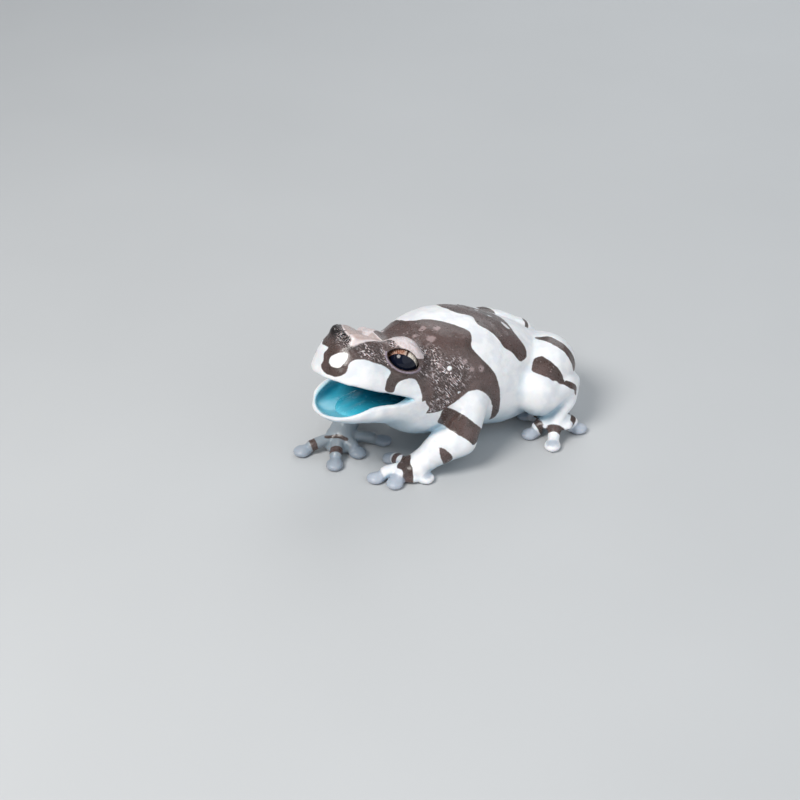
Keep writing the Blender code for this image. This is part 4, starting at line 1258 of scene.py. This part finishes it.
# The dark hide, the granules and above all the mouth are glossier than the milky ground.
wet = step(tree, attribute(tree, "lining"), 0.2, 1.2)
rough = step(tree, fine, 0.3, 0.7, 0.36, 0.48)
for share, change in ((in_dark, -0.1), (grainy, -0.12), (wet, -0.28)):
    rough = sums(tree, "MULTIPLY_ADD", share, change, rough)
relief = step(tree, pebbles(tree, where, PEBBLE_SIZE), 0.5, 0.0)
relief = sums(tree, "MULTIPLY", relief, step(tree, grainy, 0.0, 0.7, 0.1, 1.0))
relief = sums(tree, "ADD", relief, sums(tree, "MULTIPLY_ADD", fine, 0.3, streaks))
relief = sums(tree, "MULTIPLY", relief, step(tree, wet, 0.0, 1.0, 1.0, 0.25))
bump = node(tree, "ShaderNodeBump", {"Strength": 0.85, "Distance": 0.1 * MM, "Height": relief})
add_shader(tree, {
    "Base Color": colour,
    "Roughness": rough,
    "Normal": bump.outputs["Normal"],
    "Subsurface Weight": 0.25,
    "Subsurface Radius": (1.0, 0.55, 0.4),
    "Subsurface Scale": 0.7 * MM,
    "Specular IOR Level": 0.5,
    "Coat Weight": 0.15,
    "Coat Roughness": 0.2,
})

skin = new_piece("skin", points, faces.tolist(), skin_material, skin_values)
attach(skin, "root")
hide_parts(*[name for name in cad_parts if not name.startswith(("eye", "tongue"))])

# --- Granules -------------------------------------------------------------------------------
# Low glossy grains that stand on the dark hide: close together before and behind the eyes and on
# the shoulders. Each is a flat dome sunk into the skin and is a part of the hide.

# Radius, the least and the most of it that a grain has, and the space between grains. A grain is
# stretched along GRANULE_WAY and flattened.
GRANULE_SIZE = 0.12 * MM
GRANULE_SIZES = (0.55, 1.5)
GRANULE_SPACING = 0.32 * MM
GRANULE_SHAPE = (1.6, 0.9, 0.5)
GRANULE_WAY = (0.5, 0.5, -1.0)
GRANULE_SEED = 7
# Grains to a square metre before the spacing thins them.
GRANULE_DENSITY = 6e6
TINT_SIZE = 1.1

granule_material, tree, where = new_material("hide_granules")
tint = sized_noise(tree, where, TINT_SIZE, 3.0)
add_shader(tree, {
    "Base Color": mix(tree, step(tree, tint, 0.42, 0.7, 0.0, 0.7), BROWN, SPECK),
    "Roughness": step(tree, tint, 0.3, 0.7, 0.2, 0.35),
    "Coat Weight": 0.3,
    "Coat Roughness": 0.1,
})

tree = bpy.data.node_groups.new("scatter_granules", "GeometryNodeTree")
tree.interface.new_socket("Hide", in_out="INPUT", socket_type="NodeSocketGeometry")
sockets = {}
kinds = {"Size": "NodeSocketFloat", "Spacing": "NodeSocketFloat", "Seed": "NodeSocketInt"}
for name, kind in kinds.items():
    sockets[name] = tree.interface.new_socket(name, in_out="INPUT", socket_type=kind).identifier
tree.interface.new_socket("Granules", in_out="OUTPUT", socket_type="NodeSocketGeometry")
given = node(tree, "NodeGroupInput").outputs
density = node(tree, "GeometryNodeInputNamedAttribute", {"Name": "granular"}, data_type="FLOAT")
spread = node(tree, "GeometryNodeDistributePointsOnFaces", {
    "Mesh": given["Hide"],
    "Distance Min": given["Spacing"],
    "Seed": given["Seed"],
    "Density Factor": density.outputs["Attribute"],
    "Density Max": GRANULE_DENSITY,
}, distribute_method="POISSON")
ball_inputs = {"Segments": 8, "Rings": 6, "Radius": given["Size"]}
ball = node(tree, "GeometryNodeMeshUVSphere", ball_inputs).outputs["Mesh"]
flat = node(tree, "GeometryNodeTransform", {"Geometry": ball, "Scale": GRANULE_SHAPE})
smoothed = node(tree, "GeometryNodeSetShadeSmooth", {"Geometry": flat.outputs["Geometry"]})
sizes = node(tree, "FunctionNodeRandomValue", data_type="FLOAT")
for socket, value in zip([s for s in sizes.inputs if s.type == "VALUE" and s.enabled], GRANULE_SIZES):
    socket.default_value = value
tree.links.new(given["Seed"], sizes.inputs["Seed"])
turned_inputs = {"Rotation": spread.outputs["Rotation"], "Vector": GRANULE_WAY}
turned = node(tree, "FunctionNodeAlignRotationToVector", turned_inputs, axis="X", pivot_axis="Z")
placed = node(tree, "GeometryNodeInstanceOnPoints", {
    "Points": spread.outputs["Points"],
    "Instance": smoothed.outputs["Geometry"],
    "Rotation": turned.outputs["Rotation"],
    "Scale": next(socket for socket in sizes.outputs if socket.enabled),
})
real = node(tree, "GeometryNodeRealizeInstances", {"Geometry": placed.outputs["Instances"]})
painted_inputs = {"Geometry": real.outputs["Geometry"], "Material": granule_material}
painted = node(tree, "GeometryNodeSetMaterial", painted_inputs)
node(tree, "NodeGroupOutput", {"Granules": painted.outputs["Geometry"]})

granules = bpy.data.objects.new("granules", skin.data.copy())
bpy.context.scene.collection.objects.link(granules)
scatter = granules.modifiers.new("scatter", "NODES")
scatter.node_group = tree
scatter[sockets["Size"]] = GRANULE_SIZE
scatter[sockets["Spacing"]] = GRANULE_SPACING
scatter[sockets["Seed"]] = GRANULE_SEED
bpy.context.view_layer.update()
depsgraph = bpy.context.evaluated_depsgraph_get()
scattered = bpy.data.meshes.new_from_object(granules.evaluated_get(depsgraph))
granules.modifiers.clear()
granules.data = scattered
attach(granules, "root")

# --- Eyes -----------------------------------------------------------------------------------
# Two wet, nearly black balls under the lids. The wide pupil is a lying oval, and the copper iris
# shows as an arc over it, with fine dark threads that run out from the pupil.

EYEBALL_RADIUS = 3.4
EYE_RINGS = 48
EYE_TURNS = 64
# Seen along the look: half sizes and place of the pupil, back and up, and the width of the iris.
PUPIL = (2.9, 1.8)
PUPIL_PLACE = (0.3, -0.85)
IRIS_REACH = 1.3
# The cornea rises by this share of the radius over a round of this many radians.
CORNEA_RISE = 0.05
CORNEA_REACH = 0.6
# Behind this slant, in radians, the ball is dark: past the end of the iris.
BACK_SLANT = 2.0
BACK_RING = 2.0

IRIS_COPPER = (0.34, 0.15, 0.095)
IRIS_CREAM_AND_HIGHLIGHT = (0.80, 0.72, 0.63)
IRIS_DARK_AND_LID_SHADOW = (0.05, 0.022, 0.016)
PUPIL_BLACK = (0.004, 0.006, 0.016)
# A dark bar crosses the iris this far back from the middle of the eye.
IRIS_BAR = 0.2


def round_ball(rings, turns):
    """Give the slants, the turns and the faces of a ball with a tip before and behind."""
    slant = np.linspace(0, math.pi, rings + 1)[1:-1]
    turn = np.linspace(0, 2 * math.pi, turns, endpoint=False)
    slants, spins = (grid.ravel() for grid in np.meshgrid(slant, turn, indexing="ij"))
    rounds = np.arange(len(slants)).reshape(-1, turns)
    beside = np.roll(rounds, -1, 1)
    faces = np.stack((rounds[:-1], rounds[1:], beside[1:], beside[:-1]), 2).reshape(-1, 4).tolist()
    faces += [(rounds.size, i, j) for i, j in zip(rounds[0].tolist(), beside[0].tolist())]
    faces += [(rounds.size + 1, j, i) for i, j in zip(rounds[-1].tolist(), beside[-1].tolist())]
    return np.append(slants, (0, math.pi)), np.append(spins, (0, 0)), faces


eye_material, tree, where = new_material("wet_eye")
ring, turned, to_back = (attribute(tree, name) for name in ("ring", "turn", "side"))
radial = {"X": sums(tree, "MULTIPLY", turned, 9.0), "Y": sums(tree, "MULTIPLY", ring, 1.5)}
radial = node(tree, "ShaderNodeCombineXYZ", radial).outputs[0]
threads_inputs = {"Vector": radial, "Scale": 1.6, "Detail": 4.0}
threads = node(tree, "ShaderNodeTexNoise", threads_inputs).outputs["Fac"]
iris = mix(tree, step(tree, threads, 0.5, 0.66, 0.0, 0.5), IRIS_COPPER, IRIS_CREAM_AND_HIGHLIGHT)
# The iris turns pale cream towards the back: partly its own colour, partly a painted highlight.
iris = mix(tree, step(tree, to_back, -0.7, 0.5), iris, IRIS_CREAM_AND_HIGHLIGHT)
iris = mix(tree, step(tree, threads, 0.5, 0.34, 0.0, 0.7), iris, IRIS_DARK_AND_LID_SHADOW)
bar = sums(tree, "ABSOLUTE", sums(tree, "SUBTRACT", to_back, IRIS_BAR))
iris = mix(tree, step(tree, bar, 0.3, 0.12), iris, IRIS_DARK_AND_LID_SHADOW)
colour = mix(tree, step(tree, ring, 0.0, 0.09), PUPIL_BLACK, iris)
# Painted shadow of the upper lid: the iris darkens towards its outer rim.
colour = mix(tree, step(tree, ring, 0.55, 0.95), colour, IRIS_DARK_AND_LID_SHADOW)
add_shader(tree, {
    "Base Color": colour,
    "Roughness": step(tree, sized_noise(tree, where, 1.0), 0.3, 0.7, 0.14, 0.2),
    "Specular IOR Level": 0.05,
    "Coat Weight": 0.5,
    "Coat Roughness": 0.03,
})

for sign, side in ((1, "left"), (-1, "right")):
    out, long, short = look_ways(sign)
    centre = in_head(HEAD, EYES[sign])
    slants, spins, shells = round_ball(EYE_RINGS, EYE_TURNS)
    radius = EYEBALL_RADIUS * (1 + CORNEA_RISE * np.exp(-(slants / CORNEA_REACH) ** 2) - CORNEA_RISE)
    a = np.sin(slants) * np.cos(spins) * radius
    b = np.sin(slants) * np.sin(spins) * radius
    places = centre + np.outer(a, long) + np.outer(b, short) + np.outer(np.cos(slants) * radius, out)
    if sign < 0:
        shells = [face[::-1] for face in shells]
    back, up = a - PUPIL_PLACE[0], b - PUPIL_PLACE[1]
    past_pupil = (np.hypot(back / PUPIL[0], up / PUPIL[1]) - 1) * PUPIL[1]
    eye_values = {
        "ring": np.where(slants > BACK_SLANT, BACK_RING, past_pupil / IRIS_REACH),
        "turn": np.arctan2(back, up),
        "side": a,
    }
    eyeball = new_piece("eyeball_" + side, places, shells, eye_material, eye_values)
    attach(eyeball, "root")
    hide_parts("eye_" + side)

# --- Tongue ---------------------------------------------------------------------------------
# A soft, round, wet pad on the floor of the mouth, joined to it in front and notched behind.

# Middle and half sizes, and then the notch and the groove: depth and half width, as shares.
TONGUE = ((5.4, 0.0, -1.8), (7.0, 5.8, 0.8))
TONGUE_RINGS = 22
TONGUE_TURNS = 40
TONGUE_NOTCH = (0.28, 0.22)
TONGUE_GROOVE = (0.3, 0.16)
PAPILLA_SIZE = 0.4
PATCH_SIZE = 2.4

tongue_material, tree, where = new_material("wet_tongue")
papillae = pebbles(tree, where, PAPILLA_SIZE)
patches = sized_noise(tree, where, PATCH_SIZE, 3.0)
# The tongue takes the lining's colour with its painted shade towards the gullet.
colour = mix(tree, step(tree, patches, 0.4, 0.7, 0.0, 0.1), mouth_colour(tree), MOUTH_LIGHT)
bump = node(tree, "ShaderNodeBump", {"Strength": 0.5, "Distance": 0.05 * MM, "Height": papillae})
add_shader(tree, {
    "Base Color": colour,
    "Roughness": step(tree, patches, 0.3, 0.7, 0.16, 0.3),
    "Normal": bump.outputs["Normal"],
    "Subsurface Weight": 0.3,
    "Subsurface Radius": (0.4, 0.9, 1.0),
    "Subsurface Scale": 0.8 * MM,
    "Coat Weight": 0.5,
    "Coat Roughness": 0.08,
})

slants, spins, shells = round_ball(TONGUE_RINGS, TONGUE_TURNS)
ahead = np.sin(slants) * np.cos(spins)
aside = np.sin(slants) * np.sin(spins)
thick = np.cos(slants)
deep, wide = TONGUE_NOTCH
ahead += deep * np.exp(-(aside / wide) ** 2) * np.clip(-ahead, 0, 1)
deep, wide = TONGUE_GROOVE
thick = thick * (1 - deep * np.exp(-(aside / wide) ** 2) * (thick > 0))
centre, radii = TONGUE
places = in_head(CHIN, centre) + (np.stack((ahead, aside, thick), 1) * radii) @ CHIN
tongue_values = {"gullet": ((places - JAW) @ CHIN.T)[:, 0]}
tongue = new_piece("soft_tongue", places, shells, tongue_material, tongue_values)
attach(tongue, "root")
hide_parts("tongue")

# --- Floor, light and camera ----------------------------------------------------------------
# A pale floor, the main lamp high in front of the frog, a larger and weaker one at its left, one
# behind it, and an even pale room.

FLOOR_CORNERS = ((-2, -2, 0), (2, -2, 0), (2, 2, 0), (-2, 2, 0))
FLOOR_GREY = (0.50, 0.51, 0.52)
FLOOR_PALE = (0.54, 0.55, 0.56)
FLOOR_PATCH = 60.0

floor_material, tree, where = new_material("pale_floor")
colour = mix(tree, sized_noise(tree, where, FLOOR_PATCH), FLOOR_GREY, FLOOR_PALE)
add_shader(tree, {"Base Color": colour, "Roughness": 0.7})
floor_mesh = bpy.data.meshes.new("floor")
floor_mesh.from_pydata(FLOOR_CORNERS, [], [(0, 1, 2, 3)])
floor_mesh.materials.append(floor_material)
floor = bpy.data.objects.new("floor", floor_mesh)
bpy.context.scene.collection.objects.link(floor)
floor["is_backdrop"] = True

# The camera's azimuth and elevation, and the lamps: name, place, size, power and tint.
CAMERA_TURN = (50.0, 33.0)
CAMERA_DISTANCE = 0.35
CAMERA_LENS = 77.175
VIEW_CENTRE = Vector((-1.8535, -9.1778, 10.0)) * MM
LAMPS = (
    ("key", (0.02, -0.34, 0.42), 0.24, 2.3, (1.0, 0.98, 0.95)),
    ("fill", (0.42, 0.02, 0.22), 0.80, 1.4, (0.93, 0.97, 1.0)),
    ("rim", (-0.22, 0.36, 0.34), 0.50, 1.0, (0.95, 0.98, 1.0)),
)
ROOM = (0.80, 0.86, 0.92, 1.0)
ROOM_LIGHT = 0.27

for name, spot, size, power, tint in LAMPS:
    light = bpy.data.lights.new(name, "AREA")
    light.shape = "DISK"
    light.size = size
    light.energy = power
    light.color = tint
    lamp = bpy.data.objects.new(name, light)
    lamp.location = spot
    lamp.rotation_euler = (-Vector(spot)).to_track_quat("-Z", "Y").to_euler()
    bpy.context.scene.collection.objects.link(lamp)

world = bpy.data.worlds.new("room")
world.use_nodes = True
world.node_tree.nodes["Background"].inputs["Color"].default_value = ROOM
world.node_tree.nodes["Background"].inputs["Strength"].default_value = ROOM_LIGHT
bpy.context.scene.world = world
bpy.context.scene.view_settings.view_transform = "Standard"

azimuth, elevation = (math.radians(angle) for angle in CAMERA_TURN)
back = Vector((math.sin(azimuth) * math.cos(elevation), -math.cos(azimuth) * math.cos(elevation),
               math.sin(elevation)))
lens = bpy.data.cameras.new("camera")
lens.sensor_width = 36
lens.lens = CAMERA_LENS
camera = bpy.data.objects.new("camera", lens)
camera.location = VIEW_CENTRE + back * CAMERA_DISTANCE
camera.rotation_euler = (-back).to_track_quat("-Z", "Y").to_euler()
bpy.context.scene.collection.objects.link(camera)
bpy.context.scene.camera = camera

size = {"cad": [list(corner) for corner in cad_box], "visual": [list(corner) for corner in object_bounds()]}
